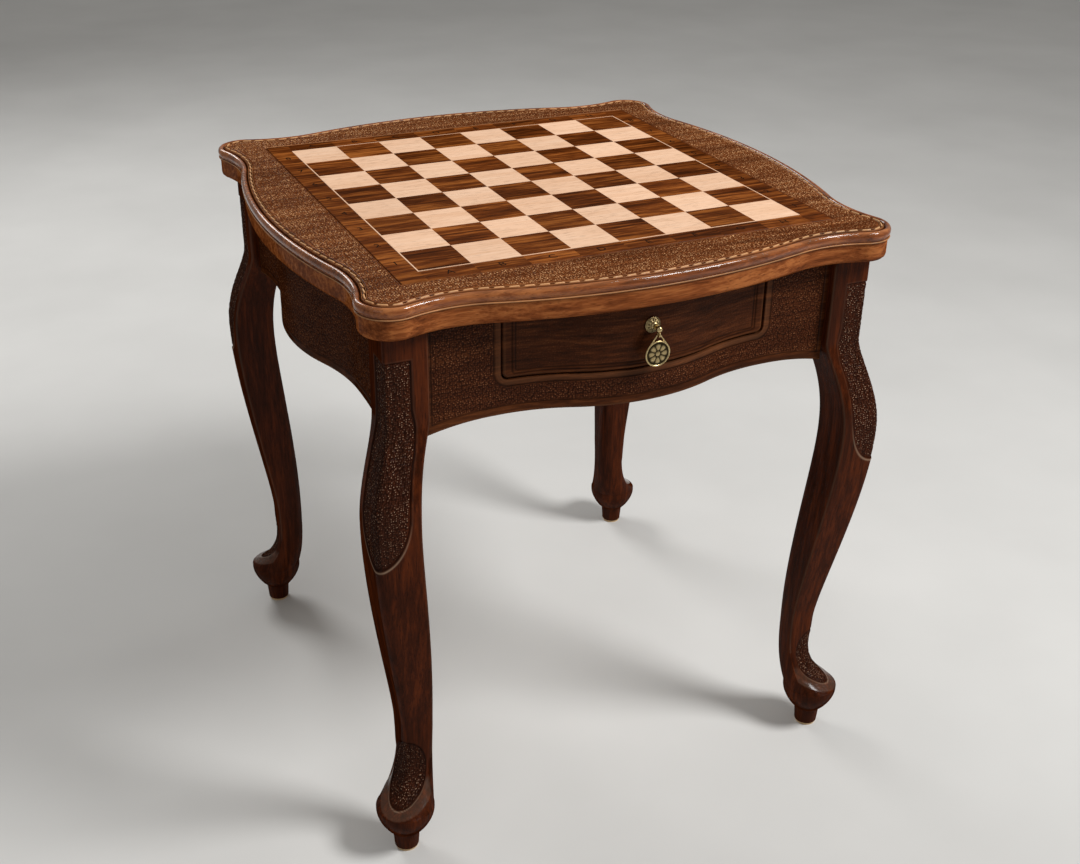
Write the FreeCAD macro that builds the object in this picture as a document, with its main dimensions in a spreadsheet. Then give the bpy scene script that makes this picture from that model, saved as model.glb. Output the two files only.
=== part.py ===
"""Chess table with an inlaid board: serpentine top, cabriole legs, bowed aprons and one drawer.

Millimetres. The origin is on the floor under the middle of the table, +Z is up and the drawer faces -Y.
"""
import FreeCAD, Part
import math
import operator
import os
import types

import Sketcher
from FreeCAD import Placement, Rotation, Vector

UP = Vector(0, 0, 1)
TO_FRONT = Rotation(Vector(1, 0, 0), 90)
SIDES = ("left", "right")
ENDS = ("front", "back")
SIGN = {"left": -1, "right": 1, "front": -1, "back": 1}

# Driving dimensions: name, value, meaning
SIZES = (
    ("table_height", 612, "floor to playing surface"),
    ("top_thick", 32, "thickness of the top"),
    ("surround", 66.2, "edge of the board's recess to the middle of each side of the top"),
    ("side_round", 600, "radius of the long round of each side of the top"),
    ("dip_round", 125, "radius of the hollow beside each ear of the top"),
    ("ear_setback", 48, "centre of each ear inside the reach of the top's sides"),
    ("ear_round", 31, "radius of each ear of the top"),
    ("bead_depth", 12, "depth of the bead round the top"),
    ("bead_flat", 3, "upright part of the bead under its rounding"),
    ("band_inset", 2.5, "how far the band stands back under the bead"),
    ("band_round", 4, "rounding under the band"),
    ("square", 50, "side of one square of the board"),
    ("string_width", 1.2, "width of the pale line round the squares"),
    ("border_width", 23, "width of the board's border"),
    ("board_gap", 0.6, "open joint between the board and the top"),
    ("veneer", 3, "thickness of squares, line and border"),
    ("core_thick", 8, "thickness of the board's core"),
    ("overhang", 37, "top past the outer faces of the leg posts"),
    ("post_width", 42, "side of the leg posts"),
    ("arris_round", 3, "rounding of the leg's edges"),
    ("outer_round", 7.5, "rounding of the leg's outer edge from the knee down"),
    ("inner_round", 15, "rounding of the leg's inner edge at the ankle"),
    ("post_length", 88, "length of the square post above the knee's curves"),
    ("knee_drop", 102, "knee below the lower end of the post"),
    ("knee_bulge", 22.2, "how far the knee stands out past the post"),
    ("knee_width", 46, "thickness of the leg at the knee"),
    ("instep_height", 87, "ankle above the top of the pad"),
    ("ankle_setback", 7, "outer face of the ankle behind the post's"),
    ("ankle_width", 32, "thickness of the leg at the ankle"),
    ("foot_setback", 5.2, "axis of the foot behind the post's outer face"),
    ("pad_radius", 30, "radius of the pad foot"),
    ("pad_ledge", 0.5, "ledge of the pad outside the instep"),
    ("instep_flat", 1.22, "flat left between the rounded corners at the foot of the instep"),
    ("pad_edge", 4, "height of the pad's upright edge"),
    ("pad_under", 29, "height of the pad's rounded underside"),
    ("peg_top", 22, "height of the top of the peg under the pad"),
    ("peg_radius", 14, "radius of the peg under the pad"),
    ("toe_radius", 12.5, "radius of the peg at its lower end"),
    ("felt_thick", 3, "thickness of the felt discs"),
    ("felt_margin", 1, "how far the felt stays inside the peg"),
    ("apron_setback", 9.5, "aprons behind the outer faces of the posts"),
    ("apron_bow", 26, "how far the middle of an apron stands out"),
    ("apron_round", 203, "radius of the round middle of an apron"),
    ("apron_blend", 203, "radius of the hollow beside the round"),
    ("apron_height", 102, "depth of the aprons below the top"),
    ("bracket_length", 63, "length of the curved part of the aprons' lower edge at each leg"),
    ("bracket_round", 270, "radius of the lower edge towards the legs"),
    ("tenon_length", 26, "length of the tenons"),
    ("tenon_thick", 10, "thickness of the tenons"),
    ("tenon_height", 36, "height of the tenons"),
    ("tenon_drop", 9, "front and back tenons below the top"),
    ("tenon_rise", 14, "side tenons above the aprons' lower edge"),
    ("tenon_fit", 0.2, "clearance round a tenon"),
    ("block_leg", 44, "length of a corner block along the aprons"),
    ("block_height", 45, "height of a corner block"),
    ("jamb", 72, "width of the front apron beside the drawer opening"),
    ("opening_height", 68, "height of the drawer opening"),
    ("opening_round", 8, "rounding of the opening's lower corners"),
    ("front_round", 6, "rounding of the drawer front's lower corners"),
    ("drawer_reveal", 2, "gap round the drawer front"),
    ("drawer_play", 0.3, "gap under the drawer and behind it"),
    ("drawer_side_play", 0.5, "gap between the drawer and each guide"),
    ("drawer_room", 66, "space between the drawer and the back apron"),
    ("kicker_height", 12.7, "height of the kickers"),
    ("drawer_side_thick", 11, "thickness of the drawer's sides"),
    ("drawer_back_thick", 10, "thickness of the drawer's back"),
    ("drawer_back_inset", 2, "drawer back inside the ends of the sides"),
    ("drawer_back_drop", 4, "drawer back below the top of the sides"),
    ("rabbet_depth", 10, "depth of the rabbets that take the drawer's sides"),
    ("bottom_thick", 5, "thickness of the drawer's bottom"),
    ("bottom_rise", 8, "drawer bottom above the lower edge of the sides"),
    ("groove_depth", 5, "depth of the grooves that take the drawer's bottom"),
    ("groove_fit", 0.2, "clearance of the bottom in its grooves"),
    ("runner_width", 26, "width of the runners"),
    ("runner_height", 22, "height of the runners"),
    ("runner_housing", 8, "depth of the runners' housings in the aprons"),
    ("guide_width", 11, "width of the guides"),
    ("guide_height", 18, "height of the guides"),
    ("kicker_width", 20, "width of the kickers"),
    ("kicker_gap", 13, "kickers short of the aprons"),
    ("kicker_play", 2, "gap between the drawer's sides and the kickers"),
    ("stop_length", 12, "length of the drawer stops"),
    ("stop_height", 20, "height of the drawer stops"),
    ("screw_radius", 2, "radius of a screw's shank"),
    ("screw_head_radius", 4, "radius of a screw's head"),
    ("screw_head", 3, "height of a screw's head"),
    ("screw_cover", 8, "wood left between a screw's tip and the board"),
    ("screw_fit", 0.1, "clearance round a screw"),
    ("block_screw_inset", 15, "corner block's screw from each apron"),
    ("block_counterbore", 12, "depth of the counterbore in a corner block"),
    ("kicker_counterbore", 4, "depth of the counterbore in a kicker"),
    ("kicker_screw_inset", 80, "kicker's screws from its ends"),
    ("pull_rise", 41, "pull's axis above the lower edge of the drawer front"),
    ("rosette_radius", 8, "radius of the pull's rosette"),
    ("rosette_rim", 1.6, "thickness of the rosette's rim"),
    ("rosette_step", 6, "radius of the rosette's dome"),
    ("rosette_height", 6, "height of the rosette"),
    ("rosette_dome", 6, "radius of the dome's rounding"),
    ("stud_radius", 2, "radius of the pull's stud"),
    ("stud_fit", 0.1, "clearance round the stud"),
    ("stud_tail", 7, "stud past the inner face of the drawer front"),
    ("collar_radius", 2.8, "radius of the collar in front of the rosette"),
    ("collar_length", 1.5, "length of that collar"),
    ("ball_radius", 3.2, "radius of the ball"),
    ("ball_out", 12, "ball's centre in front of the drawer"),
    ("eye_sink", 0.7, "depth of the eye's ring in the ball"),
    ("eye_play", 0.4, "clearance of the pendant's wire in the eye"),
    ("eye_wire", 0.8, "radius of the eye's wire"),
    ("loop_wire", 0.9, "radius of the pendant's wire"),
    ("loop_play", 0.5, "clearance of the eye's wire in the loop"),
    ("loop_drop", 19, "centre of the medallion below the eye"),
    ("loop_radius", 12, "mid radius of the loop round the medallion"),
    ("medallion_thick", 1.6, "thickness of the medallion"),
    ("washer_radius", 5, "radius of the washer"),
    ("washer_thick", 1, "thickness of the washer"),
    ("nut_flats", 7, "nut across its flats"),
    ("nut_thick", 3.2, "thickness of the nut"),
)

# Shape of the leg's curves: share of each curve's height taken by its upper and lower handle
KNEE_EASE = (0.20, 0.45)
HOLLOW_EASE = (0.15, 0.60)
SHIN_EASE = (0.34, 0.14)
CALF_EASE = (0.20, 0.38)
PAD_EASE = (0.30, 0.22)
INSTEP_POWER = 3
KNEE_STATIONS = 5
SHIN_STATIONS = 6
FOOT_STATIONS = 6
HALVINGS = 40
LEVEL = 1e-6

doc = FreeCAD.newDocument("chess_table")
sheet = doc.addObject("Spreadsheet::Sheet", "sizes")
for row, (alias, number, meaning) in enumerate(SIZES, 1):
    sheet.set(f"A{row}", alias)
    sheet.set(f"B{row}", str(number))
    sheet.setAlias(f"B{row}", alias)
    sheet.set(f"C{row}", meaning)
doc.recompute()


class Size:
    """A length that carries its number and the sheet expression that gives it."""

    def __init__(self, text, value):
        self.text = text
        self.value = value

    def __add__(self, other):
        return joined(self, "+", operator.add, other)

    def __radd__(self, other):
        return joined(other, "+", operator.add, self)

    def __sub__(self, other):
        return joined(self, "-", operator.sub, other)

    def __rsub__(self, other):
        return joined(other, "-", operator.sub, self)

    def __mul__(self, other):
        return joined(self, "*", operator.mul, other)

    def __rmul__(self, other):
        return joined(other, "*", operator.mul, self)

    def __truediv__(self, other):
        return joined(self, "/", operator.truediv, other)

    def __neg__(self):
        return joined(0, "-", operator.sub, self)


def sized(item):
    """A plain number as a Size."""
    return item if isinstance(item, Size) else Size(repr(float(item)), float(item))


def joined(left, sign, action, right):
    left, right = sized(left), sized(right)
    return Size(f"({left.text} {sign} {right.text})", action(left.value, right.value))


def root(size):
    return Size(f"sqrt({size.text})", math.sqrt(size.value))


s = types.SimpleNamespace(**{row[0]: Size("sizes." + row[0], float(sheet.get(row[0]))) for row in SIZES})

# Places and sizes that follow from these
s.underside = s.table_height - s.top_thick
s.rail_bottom = s.underside - s.apron_height
s.rail_top = s.underside - s.opening_height
s.front_bottom = s.rail_top + s.drawer_reveal
s.pull_height = s.front_bottom + s.pull_rise
s.knee_top = s.underside - s.post_length
s.knee_height = s.knee_top - s.knee_drop
s.pad_rim = s.peg_top + s.pad_under
s.pad_top = s.pad_rim + s.pad_edge
s.ankle_height = s.pad_top + s.instep_height
s.tenon_high = s.underside - s.tenon_drop - s.tenon_height
s.tenon_low = s.rail_bottom + s.tenon_rise
s.field_half = 4 * s.square
s.string_half = s.field_half + s.string_width
s.board_half = s.string_half + s.border_width
s.recess_half = s.board_half + s.board_gap
s.veneer_bottom = s.table_height - s.veneer
s.recess_bottom = s.veneer_bottom - s.core_thick
s.screw_tip = s.recess_bottom - s.screw_cover
s.top_reach = s.recess_half + s.surround
s.ear_centre = s.top_reach - s.ear_setback
s.bead_round = s.bead_depth - s.bead_flat
s.post_face = s.top_reach - s.overhang
s.post_inner = s.post_face - s.post_width
s.ankle_face = s.post_face - s.ankle_setback
s.foot_centre = s.post_face - s.foot_setback
s.apron_face = s.post_face - s.apron_setback
s.apron_crown = s.apron_face + s.apron_bow
s.rail_straight = s.post_inner - s.bracket_length
s.opening_half = s.post_inner - s.jamb
s.front_half = s.opening_half - s.drawer_reveal
s.side_outer = s.front_half - s.drawer_side_play
s.side_inner = s.side_outer - s.drawer_side_thick
s.side_front = -(s.post_inner + s.rabbet_depth)
s.side_back = s.post_inner - s.drawer_room
s.kicker_bottom = s.underside - s.kicker_height
s.kicker_half = s.post_inner - s.kicker_gap
s.drawer_bottom_z = s.rail_top + s.drawer_play
s.drawer_top_z = s.kicker_bottom - s.kicker_play
s.eye_radius = s.loop_wire + s.eye_wire + s.eye_play
s.eye_drop = s.ball_radius + s.eye_radius + s.eye_wire - s.eye_sink
s.loop_apex = s.loop_wire + s.eye_wire + s.loop_play
s.beyond = 2 * s.top_reach


def spread(side, near, far):
    """Two distances from the centre line as places across the table, the left one first."""
    return (-far, -near) if side == "left" else (near, far)


def bind(item, **sizes):
    """Binds properties to sheet expressions; x, y and z stand for the placement."""
    for name, size in sizes.items():
        path = f"Placement.Base.{name}" if name in ("x", "y", "z") else name
        item.setExpression(path, sized(size).text)
    return item


def box(label, low, high):
    """Block between two corners."""
    item = doc.addObject("Part::Box", label)
    return bind(
        item,
        Length=high[0] - low[0],
        Width=high[1] - low[1],
        Height=high[2] - low[2],
        x=low[0],
        y=low[1],
        z=low[2],
    )


def cylinder(label, radius, height, place, turn=None):
    """Round bar from a place, upright unless turned."""
    item = doc.addObject("Part::Cylinder", label)
    if turn:
        item.Placement = Placement(Vector(), turn)
    return bind(item, Radius=radius, Height=height, x=place[0], y=place[1], z=place[2])


def cut(label, base, *tools):
    item = doc.addObject("Part::Cut", label)
    item.Base = base
    item.Tool = tools[0] if len(tools) == 1 else fuse(label + "_waste", *tools)
    return item


def fuse(label, *parts):
    item = doc.addObject("Part::MultiFuse", label)
    item.Shapes = list(parts)
    return item


def common(label, *parts):
    item = doc.addObject("Part::MultiCommon", label)
    item.Shapes = list(parts)
    return item


def group(label, parts):
    item = doc.addObject("Part::Compound", label)
    item.Links = parts
    return item


def mirrored(label, source, normal):
    item = doc.addObject("Part::Mirroring", label)
    item.Source = source
    item.Normal = normal
    return item


def new_body(label):
    return doc.addObject("PartDesign::Body", label)


def sketch_on(body, name, role, offset=0):
    """Sketch on one of the body's own planes, moved along the plane's normal."""
    sketch = body.newObject("Sketcher::SketchObject", name)
    plane = [feature for feature in body.Origin.OriginFeatures if feature.Role == role][0]
    sketch.AttachmentSupport = (plane, [""])
    sketch.MapMode = "FlatFace"
    sketch.setExpression("AttachmentOffset.Base.z", sized(offset).text)
    return sketch


def hold(sketch, kind, places, size):
    """Adds one dimension to a sketch and binds it."""
    number = sketch.addConstraint(Sketcher.Constraint(kind, *places, sized(size).value))
    sketch.setExpression(f"Constraints[{number}]", sized(size).text)


def hold_point(sketch, edge, end, x, y):
    hold(sketch, "DistanceX", (-1, 1, edge, end), x)
    hold(sketch, "DistanceY", (-1, 1, edge, end), y)


def point(x, y):
    return Vector(sized(x).value, sized(y).value, 0)


def chain(sketch, corners):
    """Closed outline. Each corner is (x, y), or (x, y, radius) where an arc runs on to the next corner:
    a positive radius turns left, a negative one turns right."""
    count = len(corners)
    ends = []
    for number, corner in enumerate(corners):
        start, end = point(*corner[:2]), point(*corners[(number + 1) % count][:2])
        if len(corner) == 2:
            edge = sketch.addGeometry(Part.LineSegment(start, end))
            ends.append((edge, 1, 2))
            continue
        radius = sized(corner[2]).value
        run = end - start
        left = Vector(-run.y, run.x, 0).normalize()
        rise = math.sqrt(radius ** 2 - run.Length ** 2 / 4)
        centre = (start + end) * 0.5 + left * math.copysign(rise, radius)
        circle = Part.Circle(centre, UP, abs(radius))
        first, last = (start, end) if radius > 0 else (end, start)
        arc = Part.ArcOfCircle(circle, circle.parameter(first), circle.parameter(last))
        edge = sketch.addGeometry(arc)
        ends.append((edge, 1, 2) if radius > 0 else (edge, 2, 1))
        hold(sketch, "Radius", (edge,), corner[2] if radius > 0 else -corner[2])
    for number, (edge, start, end) in enumerate(ends):
        following = ends[(number + 1) % count]
        sketch.addConstraint(Sketcher.Constraint("Coincident", edge, end, following[0], following[1]))
        hold_point(sketch, edge, start, *corners[number][:2])


def rectangle(sketch, low, high):
    chain(sketch, ((low[0], low[1]), (high[0], low[1]), (high[0], high[1]), (low[0], high[1])))


def feature(body, kind, sketch, length, both_ways=False):
    """Pad or pocket of a sketch."""
    item = body.newObject("PartDesign::" + kind, f"{sketch.Name}_{kind.lower()}")
    item.Profile = sketch
    item.SideType = "Symmetric" if both_ways else "One side"
    bind(item, Length=length)
    return item


def rounded_below(label, half, bottom, radius):
    """Block that reaches through the table from front to back, its two lower edges rounded."""
    body = new_body(label)
    outline = sketch_on(body, label + "_outline", "XZ_Plane")
    chain(
        outline,
        (
            (-half, s.table_height),
            (-half, bottom + radius, radius),
            (radius - half, bottom),
            (half - radius, bottom, radius),
            (half, bottom + radius),
            (half, s.table_height),
        ),
    )
    feature(body, "Pad", outline, 2 * s.beyond, both_ways=True)
    return body


def rounded_edges(body, name, height, radius):
    """Fillet of the outer edges of a body that lie level at one height."""
    doc.recompute()
    base = body.Tip
    names = []
    for number, edge in enumerate(base.Shape.Edges, 1):
        limits = edge.BoundBox
        if abs(limits.ZMin - height.value) < LEVEL and abs(limits.ZMax - height.value) < LEVEL:
            names.append(f"Edge{number}")
    item = body.newObject("PartDesign::Fillet", name)
    item.Base = (base, names)
    return bind(item, Radius=radius)


# The top
def serpentine(sketch, inset):
    """Outline of the top: on each side a long round, a hollow and an ear, every arc tangent to the next."""
    inset = sized(inset)
    side, dip, ear = s.side_round - inset, s.dip_round + inset, s.ear_round - inset
    side_centre = Vector(0, (s.side_round - s.top_reach).value, 0)
    ear_centre = Vector(s.ear_centre.value, -s.ear_centre.value, 0)
    from_side = (s.side_round + s.dip_round).value
    from_ear = (s.ear_round + s.dip_round).value
    line = ear_centre - side_centre
    along = (from_side ** 2 - from_ear ** 2 + line.Length ** 2) / (2 * line.Length)
    across = math.sqrt(from_side ** 2 - along ** 2)
    line.normalize()
    dip_centre = side_centre + line * along + Vector(line.y, -line.x, 0) * across
    dip_mirror = Vector(-dip_centre.x, dip_centre.y, 0)
    next_dip = Vector(-dip_centre.y, -dip_centre.x, 0)

    def arc(centre, radius, first, last):
        start = math.atan2(first.y - centre.y, first.x - centre.x)
        end = math.atan2(last.y - centre.y, last.x - centre.x)
        return Part.ArcOfCircle(Part.Circle(centre, UP, radius.value), start, end)

    edges = []
    for turn in range(4):
        spin = Rotation(UP, 90 * turn)
        centres = (side_centre, dip_centre, ear_centre, dip_mirror, next_dip)
        mid, hollow, corner, before, after = [spin.multVec(place) for place in centres]
        edges.append(sketch.addGeometry(arc(mid, side, before, hollow)))
        edges.append(sketch.addGeometry(arc(hollow, dip, corner, mid)))
        edges.append(sketch.addGeometry(arc(corner, ear, hollow, after)))
        following = spin.multVec(Vector(-side_centre.y, side_centre.x, 0))
        edges.append(sketch.addGeometry(arc(after, dip, following, corner)))
    for number, edge in enumerate(edges):
        other = edges[(number + 1) % len(edges)]
        end = 2 if number % 2 == 0 else 1
        sketch.addConstraint(Sketcher.Constraint("Tangent", edge, end, other, end))
    for number, edge in enumerate(edges):
        hold(sketch, "Radius", (edge,), (side, dip, ear, dip)[number % 4])
    reach = s.side_round - s.top_reach
    for turn, (x, y) in enumerate(((0, reach), (-reach, 0), (0, -reach), (reach, 0))):
        hold_point(sketch, edges[4 * turn], 3, x, y)
    far = s.ear_centre
    for turn, (x, y) in enumerate(((far, -far), (far, far), (-far, far), (-far, -far))):
        hold_point(sketch, edges[4 * turn + 2], 3, x, y)


def make_top():
    body = new_body("top_form")
    outline = sketch_on(body, "bead_outline", "XY_Plane", s.table_height - s.bead_depth)
    serpentine(outline, 0)
    feature(body, "Pad", outline, s.bead_depth)
    rounded_edges(body, "bead", s.table_height, s.bead_round)
    outline = sketch_on(body, "band_outline", "XY_Plane", s.underside)
    serpentine(outline, s.band_inset)
    feature(body, "Pad", outline, s.top_thick - s.bead_depth)
    rounded_edges(body, "band_edge", s.underside, s.band_round)
    recess = sketch_on(body, "board_recess", "XY_Plane", s.table_height)
    half = s.recess_half
    rectangle(recess, (-half, -half), (half, half))
    feature(body, "Pocket", recess, s.veneer + s.core_thick)
    return body


# The board
def make_board():
    half = s.board_half
    core = box("board_core", (-half, -half, s.recess_bottom), (half, half, s.veneer_bottom))
    squares = {"light": [], "dark": []}
    for file_number in range(8):
        for rank in range(8):
            shade = "dark" if (file_number + rank) % 2 == 0 else "light"
            x = s.square * file_number - s.field_half
            y = s.square * rank - s.field_half
            low, high = (x, y, s.veneer_bottom), (x + s.square, y + s.square, s.table_height)
            squares[shade].append(box(f"{shade}_square_{file_number}_{rank}", low, high))
    plates = []
    for name, half in (("string_outer", s.string_half), ("string_inner", s.field_half)):
        plates.append(box(name, (-half, -half, s.veneer_bottom), (half, half, s.table_height)))
    pieces = [core, cut("stringing", *plates)]
    pieces += [group(f"{shade}_squares", parts) for shade, parts in squares.items()]
    for turn, side in enumerate(("front", "right", "back", "left")):
        body = new_body("border_" + side)
        body.Placement = Placement(Vector(), Rotation(UP, 90 * turn))
        outline = sketch_on(body, side + "_mitre", "XY_Plane", s.veneer_bottom)
        outer, inner = s.board_half, s.string_half
        chain(outline, ((-outer, -outer), (outer, -outer), (inner, -inner), (-inner, -inner)))
        feature(body, "Pad", outline, s.veneer)
        pieces.append(body)
    return pieces


# The legs
def curve(start, end, ease):
    """Falling S-curve in the X-Z plane that leaves and arrives upright."""
    fall = start[1] - end[1]
    poles = (
        Vector(start[0], 0, start[1]),
        Vector(start[0], 0, start[1] - ease[0] * fall),
        Vector(end[0], 0, end[1] + ease[1] * fall),
        Vector(end[0], 0, end[1]),
    )
    line = Part.BezierCurve()
    line.setPoles(poles)
    return line


def reach_at(curves, height):
    """Distance from the centre line where a run of falling curves crosses a height."""
    for line in curves:
        if height >= line.value(1).z:
            break
    low, high = 0.0, 1.0
    for _ in range(HALVINGS):
        middle = (low + high) / 2
        if line.value(middle).z > height:
            low = middle
        else:
            high = middle
    return line.value(low).x


def section(centre, half, rounds, height):
    """Square section on the diagonal at one height, with rounds for its outer, side and inner corners."""
    outer, side, inner = rounds
    corners = (outer, side, inner, side)
    edges = []
    for turn, corner in enumerate(corners):
        spin = Rotation(UP, 90 * turn)
        middle = Vector(centre, centre, height)
        flat = half - corner
        slant = flat + corner * math.sqrt(0.5)
        start = middle + spin.multVec(Vector(half, corners[turn - 1] - half, 0))
        end = middle + spin.multVec(Vector(half, flat, 0))
        bend = middle + spin.multVec(Vector(slant, slant, 0))
        after = middle + spin.multVec(Vector(flat, half, 0))
        edges += [Part.LineSegment(start, end).toShape(), Part.Arc(end, bend, after).toShape()]
    return Part.Wire(edges)


def between(first, last, count):
    """Places from first to last, closer together towards both ends."""
    shares = [(1 - math.cos(math.pi * step / count)) / 2 for step in range(count + 1)]
    return [first + (last - first) * share for share in shares]


def make_leg_form():
    """Cabriole leg at the back right: square and curved to the ankle, rounding into a turned pad foot."""
    v = types.SimpleNamespace(**{name: size.value for name, size in vars(s).items()})
    inner = v.post_inner
    knee = v.post_face + v.knee_bulge
    ankle_inner = v.ankle_face - v.ankle_width
    outer_line = (
        curve((v.post_face, v.knee_top), (knee, v.knee_height), KNEE_EASE),
        curve((knee, v.knee_height), (v.ankle_face, v.ankle_height), SHIN_EASE),
    )
    inner_line = (
        curve((inner, v.knee_top), (knee - v.knee_width, v.knee_height), HOLLOW_EASE),
        curve((knee - v.knee_width, v.knee_height), (ankle_inner, v.ankle_height), CALF_EASE),
    )
    heights = between(v.knee_top, v.knee_height, KNEE_STATIONS)
    heights += between(v.knee_height, v.ankle_height, SHIN_STATIONS)[1:]
    arris = v.arris_round
    sections = []
    for height in heights:
        high, low = reach_at(outer_line, height), reach_at(inner_line, height)
        above = min((v.knee_top - height) / v.knee_drop, 1)
        below = max((v.knee_height - height) / (v.knee_height - v.ankle_height), 0)
        rounds = (arris + (v.outer_round - arris) * above, arris, arris + (v.inner_round - arris) * below)
        sections.append(section((high + low) / 2, (high - low) / 2, rounds, height))
    ankle_centre, ankle_half = v.ankle_face - v.ankle_width / 2, v.ankle_width / 2
    ankle_rounds = (v.outer_round, arris, v.inner_round)
    for step in range(FOOT_STATIONS):
        share = (step + 1) / FOOT_STATIONS
        swell = share ** INSTEP_POWER
        centre = ankle_centre + (v.foot_centre - ankle_centre) * swell
        half = ankle_half + (v.pad_radius - v.pad_ledge - ankle_half) * swell
        rounds = []
        for start in ankle_rounds:
            spread_round = half * (start + (ankle_half - start) * share) / ankle_half
            rounds.append(min(spread_round, half - v.instep_flat / 2))
        sections.append(section(centre, half, rounds, v.ankle_height + (v.pad_top - v.ankle_height) * share))
    shaft = Part.makeLoft(sections, True)
    post = Part.Face(section((v.post_face + inner) / 2, v.post_width / 2, (arris, arris, arris), v.knee_top))
    post = post.extrude(UP * (v.underside - v.knee_top))
    under = Part.BezierCurve()
    under.setPoles(
        (
            Vector(v.pad_radius, 0, v.pad_rim),
            Vector(v.pad_radius, 0, v.pad_rim - PAD_EASE[0] * (v.pad_rim - v.peg_top)),
            Vector((v.pad_radius + v.peg_radius) / 2, 0, v.peg_top + PAD_EASE[1] * (v.pad_rim - v.peg_top)),
            Vector(v.peg_radius, 0, v.peg_top),
        )
    )
    top, rim = Vector(0, 0, v.pad_top), Vector(v.pad_radius, 0, v.pad_rim)
    edge = Vector(v.pad_radius, 0, v.pad_top)
    peg, toe = Vector(v.peg_radius, 0, v.peg_top), Vector(v.toe_radius, 0, v.felt_thick)
    foot = Vector(0, 0, v.felt_thick)
    outline = [Part.LineSegment(*ends).toShape() for ends in ((foot, top), (top, edge), (edge, rim))]
    outline += [under.toShape()]
    outline += [Part.LineSegment(*ends).toShape() for ends in ((peg, toe), (toe, foot))]
    pad = Part.Face(Part.Wire(outline)).revolve(Vector(), UP, 360)
    pad.translate(Vector(v.foot_centre, v.foot_centre, 0))
    stock = v.table_height - inner
    blank = Part.makeBox(stock, stock, v.table_height, Vector(inner, inner, 0))
    form = doc.addObject("Part::Feature", "leg_form")
    form.Shape = post.multiFuse([shaft, pad]).removeSplitter().common(blank)
    return form


def tenon_span(fit):
    """How far a tenon reaches across the thickness of an apron's end."""
    middle = (s.apron_face + s.post_inner) / 2
    return middle - s.tenon_thick / 2 - fit, middle + s.tenon_thick / 2 + fit


def make_legs():
    near, far = tenon_span(s.tenon_fit)
    deep = s.post_inner + s.tenon_length + s.tenon_fit
    rise = s.tenon_height + s.tenon_fit
    across = box(
        "mortise_across",
        (s.post_inner - s.tenon_fit, near, s.tenon_high - s.tenon_fit),
        (deep, far, s.tenon_high + rise),
    )
    along = box(
        "mortise_along",
        (near, s.post_inner - s.tenon_fit, s.tenon_low - s.tenon_fit),
        (far, deep, s.tenon_low + rise),
    )
    back_right = cut("leg_back_right", make_leg_form(), across, along)
    front_right = mirrored("leg_front_right", back_right, Vector(0, 1, 0))
    back_left = mirrored("leg_back_left", back_right, Vector(1, 0, 0))
    front_left = mirrored("leg_front_left", front_right, Vector(1, 0, 0))
    pads = []
    felt_radius = s.toe_radius - s.felt_margin
    for end in ENDS:
        for side in SIDES:
            place = (SIGN[side] * s.foot_centre, SIGN[end] * s.foot_centre, 0)
            pads.append(cylinder(f"felt_pad_{end}_{side}", felt_radius, s.felt_thick, place))
    return [back_right, front_right, back_left, front_left] + pads


# The aprons
def bowed_plan(sketch, half):
    """Plan of a bowed board facing -Y: flat ends, hollow blends and a round middle, with a straight back."""
    reach = s.apron_round + s.apron_blend
    span = root(reach * reach - (reach - s.apron_bow) * (reach - s.apron_bow))
    share = s.apron_round / reach
    turn_x = span * share
    turn_y = s.apron_crown - s.apron_round + (reach - s.apron_bow) * share
    chain(
        sketch,
        (
            (-half, -s.apron_face),
            (-span, -s.apron_face, -s.apron_blend),
            (-turn_x, -turn_y, s.apron_round),
            (turn_x, -turn_y, -s.apron_blend),
            (span, -s.apron_face),
            (half, -s.apron_face),
            (half, -s.post_inner),
            (-half, -s.post_inner),
        ),
    )


def make_apron(label, turn, tenon_bottom, waste=()):
    """Bowed apron with a scrolled lower edge and a tenon at each end, made facing -Y and then turned."""
    spin = Placement(Vector(), Rotation(UP, turn))
    body = new_body(label + "_form")
    plan = sketch_on(body, label + "_plan", "XY_Plane", s.rail_bottom - s.bracket_length)
    bowed_plan(plan, s.post_inner)
    feature(body, "Pad", plan, s.apron_height + s.bracket_length)
    edge = sketch_on(body, label + "_edge", "XZ_Plane")
    low = s.rail_bottom - s.bracket_round
    far = s.rail_straight + s.bracket_round
    chain(
        edge,
        (
            (-far, low),
            (far, low, s.bracket_round),
            (s.rail_straight, s.rail_bottom),
            (-s.rail_straight, s.rail_bottom, s.bracket_round),
        ),
    )
    feature(body, "Pocket", edge, 2 * s.beyond, both_ways=True)
    near, outer = tenon_span(0)
    tenons = []
    for side in SIDES:
        low, high = spread(side, s.post_inner, s.post_inner + s.tenon_length)
        low_corner = (low, -outer, tenon_bottom)
        high_corner = (high, -near, tenon_bottom + s.tenon_height)
        tenons.append(box(f"{label}_tenon_{side}", low_corner, high_corner))
    if waste:
        whole = fuse(label + "_blank", body, *tenons)
        item = cut(label, whole, *waste)
    else:
        item = fuse(label, body, *tenons)
    item.Placement = spin
    return item


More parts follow.
